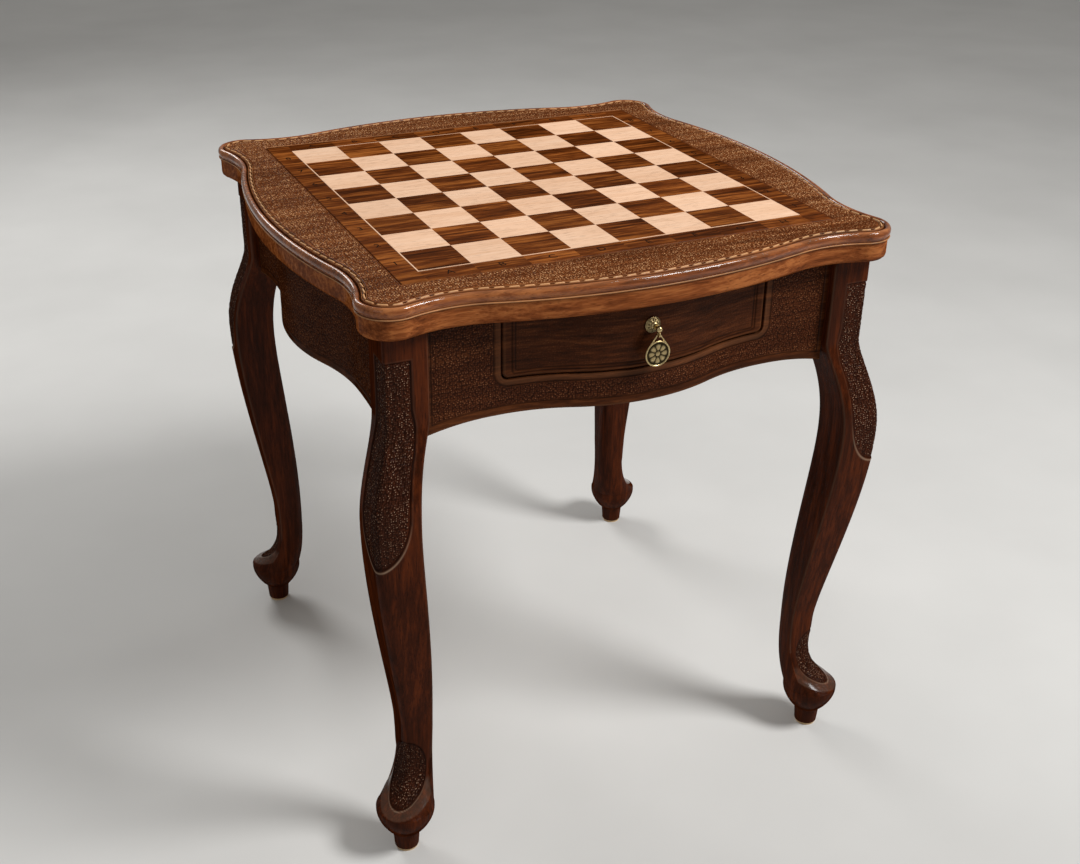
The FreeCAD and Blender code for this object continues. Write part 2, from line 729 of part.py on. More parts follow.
def make_frame():
    housings = {}
    for end in ENDS:
        housings[end] = []
        for side in SIDES:
            low, high = spread(side, s.side_inner, s.side_inner + s.runner_width)
            housings[end].append(
                box(
                    f"housing_{end}_{side}",
                    (low, -(s.post_inner + s.runner_housing), s.rail_top - s.runner_height),
                    (high, -s.post_inner, s.rail_top),
                )
            )
    opening = rounded_below("drawer_opening", s.opening_half, s.rail_top, s.opening_round)
    aprons = [
        make_apron("front_apron", 0, s.tenon_high, housings["front"] + [opening]),
        make_apron("right_apron", 90, s.tenon_low),
        make_apron("back_apron", 180, s.tenon_high, housings["back"]),
        make_apron("left_apron", 270, s.tenon_low),
    ]
    runners = []
    for side in SIDES:
        low, high = spread(side, s.side_inner, s.side_inner + s.runner_width)
        reach = s.post_inner + s.runner_housing
        bottom = s.rail_top - s.runner_height
        runners.append(box("runner_" + side, (low, -reach, bottom), (high, reach, s.rail_top)))
        low, high = spread(side, s.front_half, s.front_half + s.guide_width)
        top = s.rail_top + s.guide_height
        runners.append(box("guide_" + side, (low, -s.post_inner, s.rail_top), (high, s.post_inner, top)))
    stops = []
    for side in SIDES:
        low, high = spread(side, s.side_inner, s.side_outer)
        start = s.side_back + s.drawer_play
        low_corner = (low, start, s.rail_top)
        high_corner = (high, start + s.stop_length, s.rail_top + s.stop_height)
        stops.append(box("stop_" + side, low_corner, high_corner))
    return aprons + runners + [group("drawer_stops", stops)]


# Blocks, kickers and screws under the top
def screw(label, x, y, bottom, counterbore):
    """Screw standing head down, its head at the floor of a counterbore, its tip in the top."""
    seat = bottom + counterbore
    head = cylinder(label + "_head", s.screw_head_radius, s.screw_head, (x, y, seat - s.screw_head))
    shank = cylinder(label + "_shank", s.screw_radius, s.screw_tip - seat, (x, y, seat))
    return fuse(label, head, shank)


def screw_hole(label, x, y, bottom, counterbore):
    """Clearance hole for that screw, from below."""
    radius = s.screw_head_radius + s.screw_fit
    wide = cylinder(label + "_wide", radius, counterbore, (x, y, bottom))
    narrow = cylinder(label + "_narrow", s.screw_radius + s.screw_fit, s.underside - bottom, (x, y, bottom))
    return wide, narrow


def pilot_hole(label, x, y):
    depth = s.screw_tip - s.underside + s.screw_fit
    return cylinder(label, s.screw_radius + s.screw_fit, depth, (x, y, s.underside))


def make_fixings(top_form):
    pieces, pilots, screws = [], [], {"top": [], "kicker": []}
    block_bottom = s.underside - s.block_height
    for end in ENDS:
        for side in SIDES:
            name = f"{end}_{side}"
            turn = {"front_left": 0, "front_right": 90, "back_right": 180, "back_left": 270}[name]
            body = new_body(f"block_form_{name}")
            body.Placement = Placement(Vector(), Rotation(UP, turn))
            plan = sketch_on(body, f"block_plan_{name}", "XY_Plane", block_bottom)
            corner, tip = -s.post_inner, s.block_leg - s.post_inner
            chain(plan, ((corner, corner), (tip, corner), (corner, tip)))
            feature(body, "Pad", plan, s.block_height)
            reach = s.post_inner - s.block_screw_inset
            x, y = SIGN[side] * reach, SIGN[end] * reach
            hole = screw_hole(f"block_hole_{name}", x, y, block_bottom, s.block_counterbore)
            pieces.append(cut(f"corner_block_{name}", body, *hole))
            screws["top"].append(screw(f"top_screw_{name}", x, y, block_bottom, s.block_counterbore))
            pilots.append(pilot_hole(f"top_pilot_{name}", x, y))
    for side in SIDES:
        low, high = spread(side, s.side_inner, s.side_inner + s.kicker_width)
        half = s.kicker_half
        blank = box(f"kicker_blank_{side}", (low, -half, s.kicker_bottom), (high, half, s.underside))
        holes = []
        for end in ENDS:
            name = f"{end}_{side}"
            x, y = (low + high) / 2, SIGN[end] * (s.kicker_half - s.kicker_screw_inset)
            holes += screw_hole(f"kicker_hole_{name}", x, y, s.kicker_bottom, s.kicker_counterbore)
            fixing = screw(f"kicker_screw_{name}", x, y, s.kicker_bottom, s.kicker_counterbore)
            screws["kicker"].append(fixing)
            pilots.append(pilot_hole(f"kicker_pilot_{name}", x, y))
        pieces.append(cut(f"kicker_{side}", blank, *holes))
    pieces.append(cut("top_slab", top_form, *pilots))
    pieces += [group(f"{kind}_screws", parts) for kind, parts in screws.items()]
    return pieces


# The drawer
def make_drawer():
    groove_low = s.drawer_bottom_z + s.bottom_rise
    groove_high = groove_low + s.bottom_thick
    fit = s.groove_fit
    body = new_body("drawer_front_form")
    plan = sketch_on(body, "drawer_front_plan", "XY_Plane", s.front_bottom)
    bowed_plan(plan, s.post_inner)
    feature(body, "Pad", plan, s.opening_height - 2 * s.drawer_reveal)
    face = rounded_below("drawer_front_face", s.front_half, s.front_bottom, s.front_round)
    waste = []
    for side in SIDES:
        low, high = spread(side, s.side_inner, s.opening_half)
        waste.append(box(f"front_rabbet_{side}", (low, s.side_front, 0), (high, 0, s.table_height)))
    deep = s.post_inner + s.groove_depth
    waste.append(
        box(
            "front_groove",
            (-(s.side_inner + fit), -deep, groove_low - fit),
            (s.side_inner + fit, 0, groove_high + fit),
        )
    )
    stud_hole = cylinder("stud_hole", s.stud_radius + s.stud_fit, s.beyond, (0, 0, s.pull_height), TO_FRONT)
    pieces = [cut("drawer_front", common("drawer_front_blank", body, face), stud_hole, *waste)]
    clear = rounded_below("drawer_side_clearance", s.side_outer, s.drawer_bottom_z, s.front_round)
    for side in SIDES:
        low, high = spread(side, s.side_inner, s.side_outer)
        low_corner, high_corner = (low, s.side_front, s.drawer_bottom_z), (high, s.side_back, s.drawer_top_z)
        board = common(f"side_blank_{side}", box(f"side_stock_{side}", low_corner, high_corner), clear)
        low, high = spread(side, s.side_inner - s.groove_depth, s.side_inner + s.groove_depth)
        low_corner = (low, s.side_front, groove_low - fit)
        high_corner = (high, s.side_back, groove_high + fit)
        groove = box(f"side_groove_{side}", low_corner, high_corner)
        pieces.append(cut(f"drawer_side_{side}", board, groove))
    half = s.side_inner + s.groove_depth - fit
    front_edge = -(deep - fit)
    pieces.append(box("drawer_bottom", (-half, front_edge, groove_low), (half, s.side_back, groove_high)))
    back_end = s.side_back - s.drawer_back_inset
    low_corner = (-s.side_inner, back_end - s.drawer_back_thick, groove_high)
    high_corner = (s.side_inner, back_end, s.drawer_top_z - s.drawer_back_drop)
    pieces.append(box("drawer_back", low_corner, high_corner))
    return pieces


# The pull
def round_section(sketch, x, y, radius):
    edge = sketch.addGeometry(Part.Circle(point(x, y), UP, radius.value))
    hold(sketch, "Radius", (edge,), radius)
    hold_point(sketch, edge, 3, x, y)


def make_pull():
    inside = s.stud_tail - s.post_inner
    ball_y = -(s.apron_crown + s.ball_out)
    rosette_front = -(s.apron_crown + s.rosette_height)
    hole = s.stud_radius + s.stud_fit
    height = s.pull_height

    rosette = new_body("pull_rosette")
    bind(rosette, y=-s.apron_crown, z=height)
    profile = sketch_on(rosette, "rosette_profile", "YZ_Plane")
    chain(
        profile,
        (
            (0, hole),
            (0, s.rosette_radius),
            (-s.rosette_rim, s.rosette_radius),
            (-s.rosette_rim, s.rosette_step, s.rosette_dome),
            (-s.rosette_height, s.collar_radius),
            (-s.rosette_height, hole),
        ),
    )
    turned = rosette.newObject("PartDesign::Revolution", "rosette_turned")
    turned.Profile = profile
    turned.ReferenceAxis = ([f for f in rosette.Origin.OriginFeatures if f.Role == "Y_Axis"][0], [""])

    stud = cylinder("pull_stud", s.stud_radius, inside - ball_y, (0, inside, height), TO_FRONT)
    collar = cylinder("pull_collar", s.collar_radius, s.collar_length, (0, rosette_front, height), TO_FRONT)
    ball = bind(doc.addObject("Part::Sphere", "pull_ball"), Radius=s.ball_radius, y=ball_y, z=height)
    ring = doc.addObject("Part::Torus", "pull_eye")
    ring.Placement = Placement(Vector(), Rotation(Vector(0, 1, 0), 90))
    bind(ring, Radius1=s.eye_radius, Radius2=s.eye_wire, y=ball_y, z=height - s.eye_drop)
    post = fuse("pull_post", stud, collar, ball, ring)

    washer_inner = s.washer_thick - s.post_inner
    nut_inner = washer_inner + s.nut_thick
    washer_place = (0, washer_inner, height)
    washer_blank = cylinder("washer_blank", s.washer_radius, s.washer_thick, washer_place, TO_FRONT)
    washer_hole = cylinder("washer_hole", hole, s.beyond, (0, 0, height), TO_FRONT)
    washer = cut("pull_washer", washer_blank, washer_hole)
    nut_blank = doc.addObject("Part::Prism", "nut_blank")
    nut_blank.Placement = Placement(Vector(), TO_FRONT)
    bind(nut_blank, Circumradius=s.nut_flats / math.sqrt(3), Height=s.nut_thick, y=nut_inner, z=height)
    nut_hole = cylinder("nut_hole", hole, s.beyond, (0, 0, height), TO_FRONT)
    nut = cut("pull_nut", nut_blank, nut_hole)

    pendant = new_body("pull_pendant")
    bind(pendant, y=ball_y, z=height - s.eye_drop)
    rise = (s.loop_radius - s.loop_apex) / (s.loop_drop - s.loop_apex)
    run = root(1 - rise * rise)
    wide_x, wide_z = s.loop_radius * run, s.loop_radius * rise - s.loop_drop
    slim_x, slim_z = s.loop_apex * run, s.loop_apex * rise - s.loop_apex
    lowest = -(s.loop_drop + s.loop_radius)
    path = sketch_on(pendant, "loop_path", "XZ_Plane")
    chain(
        path,
        (
            (slim_x, slim_z),
            (wide_x, wide_z, -s.loop_radius),
            (0, lowest, -s.loop_radius),
            (-wide_x, wide_z),
            (-slim_x, slim_z, -s.loop_apex),
        ),
    )
    wire = sketch_on(pendant, "loop_section", "YZ_Plane")
    round_section(wire, 0, lowest, s.loop_wire)
    loop = pendant.newObject("PartDesign::AdditivePipe", "loop")
    loop.Profile = wire
    loop.Spine = (path, [""])
    disc = sketch_on(pendant, "medallion_outline", "XZ_Plane")
    round_section(disc, 0, -s.loop_drop, s.loop_radius)
    feature(pendant, "Pad", disc, s.medallion_thick, both_ways=True)
    return [rosette, post, washer, nut, pendant]


def check(pieces):
    """Stops if an object failed to build or a piece has no valid solid."""
    for item in doc.Objects:
        if "Invalid" in item.State or "Error" in item.State:
            raise RuntimeError(f"{item.Label} failed: {item.State}")
    for item in pieces:
        shape = item.Shape
        if shape.isNull() or not shape.isValid() or not shape.Solids:
            raise RuntimeError(f"{item.Label} has no valid solid")


nodes = make_fixings(make_top()) + make_board() + make_legs() + make_frame() + make_drawer() + make_pull()
doc.recompute()
check(nodes)
os.makedirs("parts", exist_ok=True)
for node in nodes:
    node.Shape.exportStep(f"parts/{node.Label}.step")
print(len(nodes), "nodes,", sum(len(node.Shape.Solids) for node in nodes), "solids")
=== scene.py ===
"""Chess table with an inlaid board: carved top, cabriole legs, matted aprons, drawer and drop pull.

Carving is worked out in millimetres and turned into metres when a mesh is made. The table stands on the
floor under the origin, +Z is up and the drawer faces -Y.
"""
import math

import bmesh
import bpy
import numpy as np
from mathutils import Matrix, Vector


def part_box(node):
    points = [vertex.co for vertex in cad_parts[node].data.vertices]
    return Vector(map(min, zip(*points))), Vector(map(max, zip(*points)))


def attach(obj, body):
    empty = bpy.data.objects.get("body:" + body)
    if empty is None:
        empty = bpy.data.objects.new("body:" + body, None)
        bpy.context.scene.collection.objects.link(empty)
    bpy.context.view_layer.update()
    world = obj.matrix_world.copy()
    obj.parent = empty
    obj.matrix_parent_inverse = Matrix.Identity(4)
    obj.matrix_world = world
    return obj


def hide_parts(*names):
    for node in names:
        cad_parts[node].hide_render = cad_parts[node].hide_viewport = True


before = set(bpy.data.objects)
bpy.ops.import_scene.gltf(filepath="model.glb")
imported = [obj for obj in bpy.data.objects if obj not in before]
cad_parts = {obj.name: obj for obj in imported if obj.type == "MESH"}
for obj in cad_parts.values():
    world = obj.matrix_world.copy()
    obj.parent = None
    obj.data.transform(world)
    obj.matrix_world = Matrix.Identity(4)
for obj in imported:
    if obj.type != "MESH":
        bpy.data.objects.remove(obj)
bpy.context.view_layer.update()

MM = 0.001
TABLE, DRAWER, PENDANT = "table", "drawer", "pendant"
CORNERS = {"front_left": (-1, -1), "front_right": (1, -1), "back_left": (-1, 1), "back_right": (1, 1)}
SIDES = ("front", "right", "back", "left")
QUARTER_TURN = np.array(((0, 1), (-1, 0)))


def limits(node_name):
    """Lowest and highest corner of a CAD node in millimetres."""
    return [np.array(corner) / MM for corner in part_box(node_name)]


top_low, top_high = limits("top_slab")
leg_low, leg_high = limits("leg_back_right")
felt_low, felt_high = limits("felt_pad_back_right")
front_low, front_high = limits("drawer_front")
border_low, border_high = limits("border_front")
rosette_low, rosette_high = limits("pull_rosette")
pendant_low, pendant_high = limits("pull_pendant")

TABLE_TOP, UNDERSIDE, REACH = top_high[2], top_low[2], top_high[0]
BOARD_HALF, STRING_HALF = -border_low[1], -border_high[1]
SQUARE = limits("light_squares")[1][0] / 4
BOARD_GAP = 0.6
RECESS_HALF = BOARD_HALF + BOARD_GAP
RAIL_TOP = limits("runner_left")[1][2]
APRON_CROWN = limits("back_apron")[1][1]
PULL_HEIGHT = (rosette_low[2] + rosette_high[2]) / 2


# Numbers for carving
def ease(low, high, value):
    """Smooth step from 0 at low to 1 at high."""
    share = np.clip((value - low) / (high - low), 0, 1)
    return share * share * (3 - 2 * share)


def ridge(value, width):
    """Soft line: 1 at zero, fading over a width."""
    return np.exp(-(value / width) ** 2)


def scatter(x, y, salt):
    """Repeatable number from 0 to 1 for each cell."""
    return np.modf(np.abs(np.sin(x * 127.1 + y * 311.7 + salt * 74.7) * 43758.5453))[0]


def punched(x, y, pitch):
    """Ground struck all over with a round punch: 1 on the ridges, 0 in the middle of a mark."""
    u, v = x / pitch, y / pitch
    column, row = np.floor(u), np.floor(v)
    nearest = np.full(np.shape(u), 9.0)
    for right in (-1, 0, 1):
        for up in (-1, 0, 1):
            cell_x, cell_y = column + right, row + up
            mark_x = cell_x + 0.2 + 0.6 * scatter(cell_x, cell_y, 1)
            mark_y = cell_y + 0.2 + 0.6 * scatter(cell_x, cell_y, 2)
            nearest = np.minimum(nearest, np.hypot(u - mark_x, v - mark_y))
    return np.clip(nearest / 0.7, 0, 1)


def bezier(poles, count=200):
    """Points along a cubic curve."""
    t = np.linspace(0, 1, count)[:, None]
    a, b, c, d = (np.array(pole, float) for pole in poles)
    return (1 - t) ** 3 * a + 3 * t * (1 - t) ** 2 * b + 3 * t * t * (1 - t) * c + t ** 3 * d


# Meshes
def ring_faces(rows, columns, closed=True):
    """Quads of a grid of points kept row by row."""
    row, column = np.meshgrid(np.arange(rows - 1), np.arange(columns - (not closed)), indexing="ij")
    following = (column + 1) % columns
    corners = (row * columns + column, row * columns + following)
    quads = np.stack((corners[0], corners[1], corners[1] + columns, corners[0] + columns), axis=-1)
    return quads.reshape(-1, 4).tolist()


def capped_faces(rows, columns):
    """Quads of closed rings, with a face on the first ring and on the last."""
    first, last = range(columns), range((rows - 1) * columns, rows * columns)
    return ring_faces(rows, columns) + [list(first), list(last)]


def solid(name, points, faces, crisp=60):
    """Object from points in millimetres, faces turned outward, edges over an angle kept crisp."""
    mesh = bpy.data.meshes.new(name)
    mesh.from_pydata((np.asarray(points) * MM).tolist(), [], faces)
    shape = bmesh.new()
    shape.from_mesh(mesh)
    bmesh.ops.recalc_face_normals(shape, faces=shape.faces[:])
    shape.to_mesh(mesh)
    shape.free()
    mesh.shade_smooth()
    mesh.set_sharp_from_angle(angle=math.radians(crisp))
    item = bpy.data.objects.new(name, mesh)
    bpy.context.scene.collection.objects.link(item)
    return item


def paint(item, **layers):
    """Keeps one number per point for the materials to read."""
    for name, numbers in layers.items():
        layer = item.data.attributes.new(name, "FLOAT", "POINT")
        layer.data.foreach_set("value", np.asarray(numbers, np.float32).ravel())


def settle(item, body, slot, material, *nodes):
    """Gives a piece its material and body, and hides the CAD nodes that it stands for; the slot is not
    used.
    """
    item.data.materials.append(material)
    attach(item, body)
    if nodes:
        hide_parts(*nodes)
    return item


# Layers of a carved mesh: matting, painted shade, wear with painted highlights, and the place on the carved
# face
LAYERS = ("matting", "shade", "wear", "across", "along")


class Rows:
    """Rings of points round an outline, each with its matting, painted shade, wear with painted highlight
    and place on the carved face.
    """

    def __init__(self):
        self.rows = []

    def add(self, points, level, matting=0.0, shade=0.0, wear=0.0, across=0.0, along=0.0):
        """Adds a ring. Its level and layers are one number, or one for each point."""
        layers = (level, matting, shade, wear, across, along)
        parts = [np.broadcast_to(part, len(points)) for part in layers]
        self.rows.append(np.column_stack((points, *parts)))

    def build(self, name, capped=True, crisp=60, mirror=(1, 1)):
        """Solid from the rings: its ends are capped, or else the last ring joins on to the first."""
        stacked = np.array(self.rows if capped else self.rows + self.rows[:1])
        count, columns = stacked.shape[:2]
        if capped:
            faces = capped_faces(count, columns)
        else:
            faces = (np.array(ring_faces(count, columns)) % ((count - 1) * columns)).tolist()
            stacked = stacked[:-1]
        flat = stacked.reshape(-1, stacked.shape[2])
        item = solid(name, flat[:, :3] * (*mirror, 1), faces, crisp)
        paint(item, **dict(zip(LAYERS, flat[:, 3:].T)))
        return item


def make_slab(name, grid, axis, back, layers, turn=0, keep=None):
    """Board with a carved face and a flat back on one axis, turned about the table by a number of quarters.

    The face is a grid of points with its layers, and it has an opening where quads are not to be kept.
    """
    flat = grid.reshape(-1, 3)
    quads = np.array(ring_faces(*grid.shape[:2], closed=False))
    if keep is not None:
        quads = quads[keep.ravel()]
    edges = {tuple(edge) for k in range(4) for edge in quads[:, (k, (k + 1) % 4)].tolist()}
    following = {first: last for first, last in edges if (last, first) not in edges}
    rim = [next(iter(following))]
    while following[rim[-1]] != rim[0]:
        rim.append(following[rim[-1]])
    used = np.unique(quads)
    number = np.full(len(flat), -1)
    number[used] = np.arange(len(used))
    rim = number[np.array(rim)]
    front = flat[used]
    behind = front[rim].copy()
    behind[:, axis] = back
    first, count = len(front), len(rim)
    faces = number[quads].tolist() + [list(range(first, first + count))]
    for k in range(count):
        after = (k + 1) % count
        faces.append([rim[after], rim[k], first + k, first + after])
    points = np.concatenate((front, behind))
    points[:, :2] = points[:, :2] @ np.linalg.matrix_power(QUARTER_TURN, turn)
    item = solid(name, points, faces, crisp=50)
    for layer, numbers in zip(LAYERS, layers):
        paint(item, **{layer: np.concatenate((numbers.ravel()[used], np.zeros(count)))})
    return item


# Materials
def node(tree, kind, sockets=None, **settings):
    """Shader node with settings, and sockets set to a value or joined to another node's output."""
    item = tree.nodes.new("ShaderNode" + kind)
    for key, value in settings.items():
        setattr(item, key, value)
    for key, value in (sockets or {}).items():
        if isinstance(value, bpy.types.NodeSocket):
            tree.links.new(value, item.inputs[key])
        else:
            item.inputs[key].default_value = value
    return item


def reckon(tree, action, first, second=0.0, third=0.0):
    """Output of a sum with numbers or other outputs."""
    return node(tree, "Math", {0: first, 1: second, 2: third}, operation=action).outputs[0]


def blended(tree, factor, first, second, how="MIX"):
    """Output of two mixed colours."""
    item = node(tree, "Mix", {0: factor, 6: first, 7: second}, data_type="RGBA", blend_type=how)
    return item.outputs[2]


def ramp(tree, factor, *stops):
    """Colour or grey ramp from (place, colour) pairs."""
    item = node(tree, "ValToRGB", {0: factor})
    elements = item.color_ramp.elements
    while len(elements) < len(stops):
        elements.new(0.5)
    for element, (place, colour) in zip(elements, stops):
        element.position = place
        element.color = (*colour, 1)
    return item.outputs[0]


def grey(level):
    return (level, level, level)


def tone(red, green, blue):
    """Display colour from 0 to 255 as the linear colour that a shader takes."""
    shares = [part / 255 for part in (red, green, blue)]
    return tuple(part / 12.92 if part <= 0.04045 else ((part + 0.055) / 1.055) ** 2.4 for part in shares)


def new_material(name):
    """Material, its tree of nodes and its shader."""
    material = bpy.data.materials.new(name)
    material.use_nodes = True
    tree = material.node_tree
    return material, tree, tree.nodes["Principled BSDF"]


def layer_of(tree, name):
    """Output of a layer kept with the points of a mesh."""
    return node(tree, "Attribute", attribute_name=name).outputs["Fac"]


def noise(tree, place, scale, detail, rough, twist=0.0):
    sockets = {"Vector": place, "Scale": scale, "Detail": detail, "Roughness": rough, "Distortion": twist}
    return node(tree, "TexNoise", sockets).outputs["Fac"]


# Pitch of the painted glints in millimetres, gloss seen straight on, facing value where it ends, and gloss
# of polish
GLINT_PITCH, SHINE, GRAZE, POLISH = 2.2, 0.07, 0.72, 0.32
GRAIN = {"x": (1, 14, 14), "y": (14, 1, 14), "z": (14, 14, 1), "level": (1.2, 4, 16)}


def wood(name, tones, axis, gloss, tile=None, vary=0.2, contrast=1.0, ground=None, glint_and_wear_tone=None, glint_radius=0.25):
    """Wood with growth streaks, fine lines and pores along one axis.

    A tile is the side of pieces of veneer that each have their own cut of grain. Carved wood has a colour
    and painted glints for its punched ground, and reads the layers of its mesh: matting (that ground, under
    0 where it is polished), shade (painted shade in hollows, grooves and along edges), wear (rubbed edges,
    and painted highlights on lips, ridges and arrises) and the place on the carved face in millimetres.
    A glint radius is the radius of a painted glint as a share of the pitch of the glints.
    """
    material, tree, shader = new_material(name)
    place = node(tree, "TexCoord").outputs["Object"]
    grain_place = place
    if tile:
        cell = node(tree, "VectorMath", {0: place, 1: (tile, tile, 1.0)}, operation="DIVIDE").outputs[0]
        cell = node(tree, "VectorMath", {0: cell}, operation="FLOOR").outputs[0]
        chance = node(tree, "TexWhiteNoise", {"Vector": cell})
        shift = node(tree, "VectorMath", {0: chance.outputs["Color"], 1: grey(3.0)}, operation="MULTIPLY")
        grain_place = node(tree, "VectorMath", {0: place, 1: shift.outputs[0]}, operation="ADD").outputs[0]
    stretched = node(tree, "Mapping", {"Vector": grain_place, "Scale": GRAIN[axis]}).outputs[0]
    figure = noise(tree, stretched, 2.6, 5.0, 0.62, 0.9)
    lines = noise(tree, stretched, 17.0, 3.0, 0.7, 0.2)
    pores = ramp(tree, noise(tree, stretched, 78.0, 1.0, 0.5), (0.60, grey(0.0)), (0.70, grey(1.0)))
    streak = reckon(tree, "MULTIPLY_ADD", lines, 0.55 * contrast, 0.5 - 0.5 * contrast)
    streak = reckon(tree, "MULTIPLY_ADD", figure, 0.45 * contrast, streak)
    dark, middle, light = tones
    deep = (*(0.35 * part for part in dark), 1)
    colour = ramp(tree, streak, (0.34, dark), (0.50, middle), (0.66, light))
    colour = blended(tree, reckon(tree, "MULTIPLY", pores, 0.45), colour, deep)
    if tile:
        level = ramp(tree, chance.outputs["Value"], (0.0, grey(1 - vary)), (1.0, grey(1 + 0.5 * vary)))
        colour = blended(tree, 1.0, colour, level, "MULTIPLY")
    rough = reckon(tree, "MULTIPLY_ADD", lines, 0.10, gloss - 0.05)
    height = reckon(tree, "MULTIPLY", pores, -0.25)
    facing = node(tree, "LayerWeight", {"Blend": 0.5}).outputs["Facing"]
    sheen = reckon(tree, "MULTIPLY_ADD", facing, -SHINE / GRAZE, SHINE)
    if ground:
        matting, shade, wear, across, along = (layer_of(tree, layer) for layer in LAYERS)
        face_place = node(tree, "CombineXYZ", {0: across, 1: along}).outputs[0]
        sockets = {"Vector": face_place, "Scale": 1 / GLINT_PITCH, "Randomness": 0.75}
        marks = node(tree, "TexVoronoi", sockets, voronoi_dimensions="2D")
        # Painted glints: bright dots at the middle of the punch marks, and painted shade in the hollows
        # between them
        dots = ramp(tree, marks.outputs["Distance"], (0.3 * glint_radius, grey(1.0)), (glint_radius, grey(0.0)))
        pits = ramp(tree, marks.outputs["Distance"], (0.30, grey(0.0)), (0.62, grey(1.0)))
        bright = ramp(tree, marks.outputs["Color"], (0.68 - glint_radius, grey(0.05)), (0.80, grey(1.0)))
        glint_by_streak = ramp(tree, streak, (0.42, grey(0.35)), (0.56, grey(1.0)))
        glint = reckon(tree, "MULTIPLY", reckon(tree, "MULTIPLY", dots, bright), glint_by_streak)
        matted = blended(tree, 0.45, colour, (*ground, 1))
        matted = blended(tree, reckon(tree, "MULTIPLY", pits, 0.7), matted, deep)
        matted = blended(tree, glint, matted, (*glint_and_wear_tone, 1))
        colour = blended(tree, matting, colour, matted)
        # Rubbed edges and painted highlights take the glint tone, painted shade takes the deep tone
        colour = blended(tree, reckon(tree, "MULTIPLY", wear, 0.75), colour, (*glint_and_wear_tone, 1))
        colour = blended(tree, reckon(tree, "MULTIPLY", shade, 0.85), colour, deep)
        rough = reckon(tree, "MULTIPLY_ADD", matting, 0.10, rough)
        sheen = reckon(tree, "MAXIMUM", sheen, reckon(tree, "MULTIPLY", matting, -POLISH))
        struck = reckon(tree, "MAXIMUM", matting, 0.0)
        relief = reckon(tree, "SUBTRACT", dots, pits)
        height = reckon(tree, "MULTIPLY_ADD", struck, relief, height)
    bump = node(tree, "Bump", {"Height": height, "Strength": 0.5, "Distance": 0.0005}).outputs[0]
    sheen = reckon(tree, "MAXIMUM", sheen, 0.0)
    finish = {"Base Color": colour, "Roughness": rough, "Specular IOR Level": sheen, "Normal": bump}
    for socket, value in finish.items():
        tree.links.new(value, shader.inputs[socket])
    return material


def metal(name, tones, rough, scale):
    """Metal with a mottled finish that is darker and duller in its hollows."""
    material, tree, shader = new_material(name)
    place = node(tree, "TexCoord").outputs["Object"]
    spots = noise(tree, place, scale, 4.0, 0.6)
    shade = layer_of(tree, "shade")
    colour = ramp(tree, spots, (0.35, tones[0]), (0.65, tones[1]))
    colour = blended(tree, shade, colour, (*(0.07 * part for part in tones[0]), 1))
    tree.links.new(colour, shader.inputs["Base Color"])
    rough = reckon(tree, "MULTIPLY_ADD", spots, 0.16, rough - 0.08)
    tree.links.new(reckon(tree, "MULTIPLY_ADD", shade, 0.25, rough), shader.inputs["Roughness"])
    bump = node(tree, "Bump", {"Height": spots, "Strength": 0.15, "Distance": 0.0002}).outputs[0]
    tree.links.new(bump, shader.inputs["Normal"])
    shader.inputs["Metallic"].default_value = 1.0
    return material


def felt(name, tones):
    """Short pressed fibres."""
    material, tree, shader = new_material(name)
    place = node(tree, "TexCoord").outputs["Object"]
    fibres = noise(tree, place, 900.0, 3.0, 0.7)
    tree.links.new(ramp(tree, fibres, (0.3, tones[0]), (0.7, tones[1])), shader.inputs["Base Color"])
    bump = node(tree, "Bump", {"Height": fibres, "Strength": 0.6, "Distance": 0.0006}).outputs[0]
    tree.links.new(bump, shader.inputs["Normal"])
    shader.inputs["Roughness"].default_value = 0.95
    shader.inputs["Sheen Weight"].default_value = 0.3
    return material


TOP_TONES = (tone(88, 43, 17), tone(128, 68, 32), tone(164, 98, 52))
LEG_TONES = (tone(37, 15, 5), tone(58, 24, 9), tone(88, 39, 15))
APRON_TONES = (tone(41, 19, 7), tone(64, 31, 13), tone(94, 51, 25))
WALNUT_TONES = (tone(56, 25, 7), tone(100, 49, 17), tone(152, 88, 38))
MAPLE_TONES = (tone(216, 171, 136), tone(228, 187, 155), tone(236, 200, 171))
PALE_TONES = (tone(170, 128, 86), tone(192, 150, 106), tone(208, 170, 126))
INK_TONES = (tone(24, 15, 10), tone(34, 21, 14), tone(46, 29, 19))
CELL = SQUARE * MM

carved_top = wood(
    "carved_top_wood", TOP_TONES, "x", 0.20, contrast=1.4, ground=tone(87, 46, 21),
    glint_and_wear_tone=tone(236, 188, 136), glint_radius=0.34,
)
carved_leg = wood(
    "carved_leg_wood", LEG_TONES, "z", 0.18, ground=tone(50, 24, 12), glint_and_wear_tone=tone(214, 182, 152), glint_radius=0.20
)
carved_apron = wood(
    "carved_apron_wood", APRON_TONES, "level", 0.34, contrast=1.2, ground=tone(77, 37, 18),
    glint_and_wear_tone=tone(158, 108, 74), glint_radius=0.24,
)
dark_veneer = wood("dark_veneer", WALNUT_TONES, "x", 0.32, tile=CELL, contrast=1.6)
light_veneer = wood("light_veneer", MAPLE_TONES, "x", 0.32, tile=CELL, vary=0.06, contrast=0.8)
ink_veneer = wood("ink_veneer", INK_TONES, "x", 0.4)
bare_wood = {axis: wood("bare_wood_" + axis, PALE_TONES, axis, 0.6) for axis in "xy"}
brass = metal("antique_brass", (tone(168, 144, 98), tone(222, 200, 150)), 0.30, 900.0)
steel = metal("zinc_steel", (tone(150, 152, 156), tone(190, 192, 196)), 0.38, 600.0)
tan_felt = felt("tan_felt", (tone(176, 142, 98), tone(214, 184, 142)))


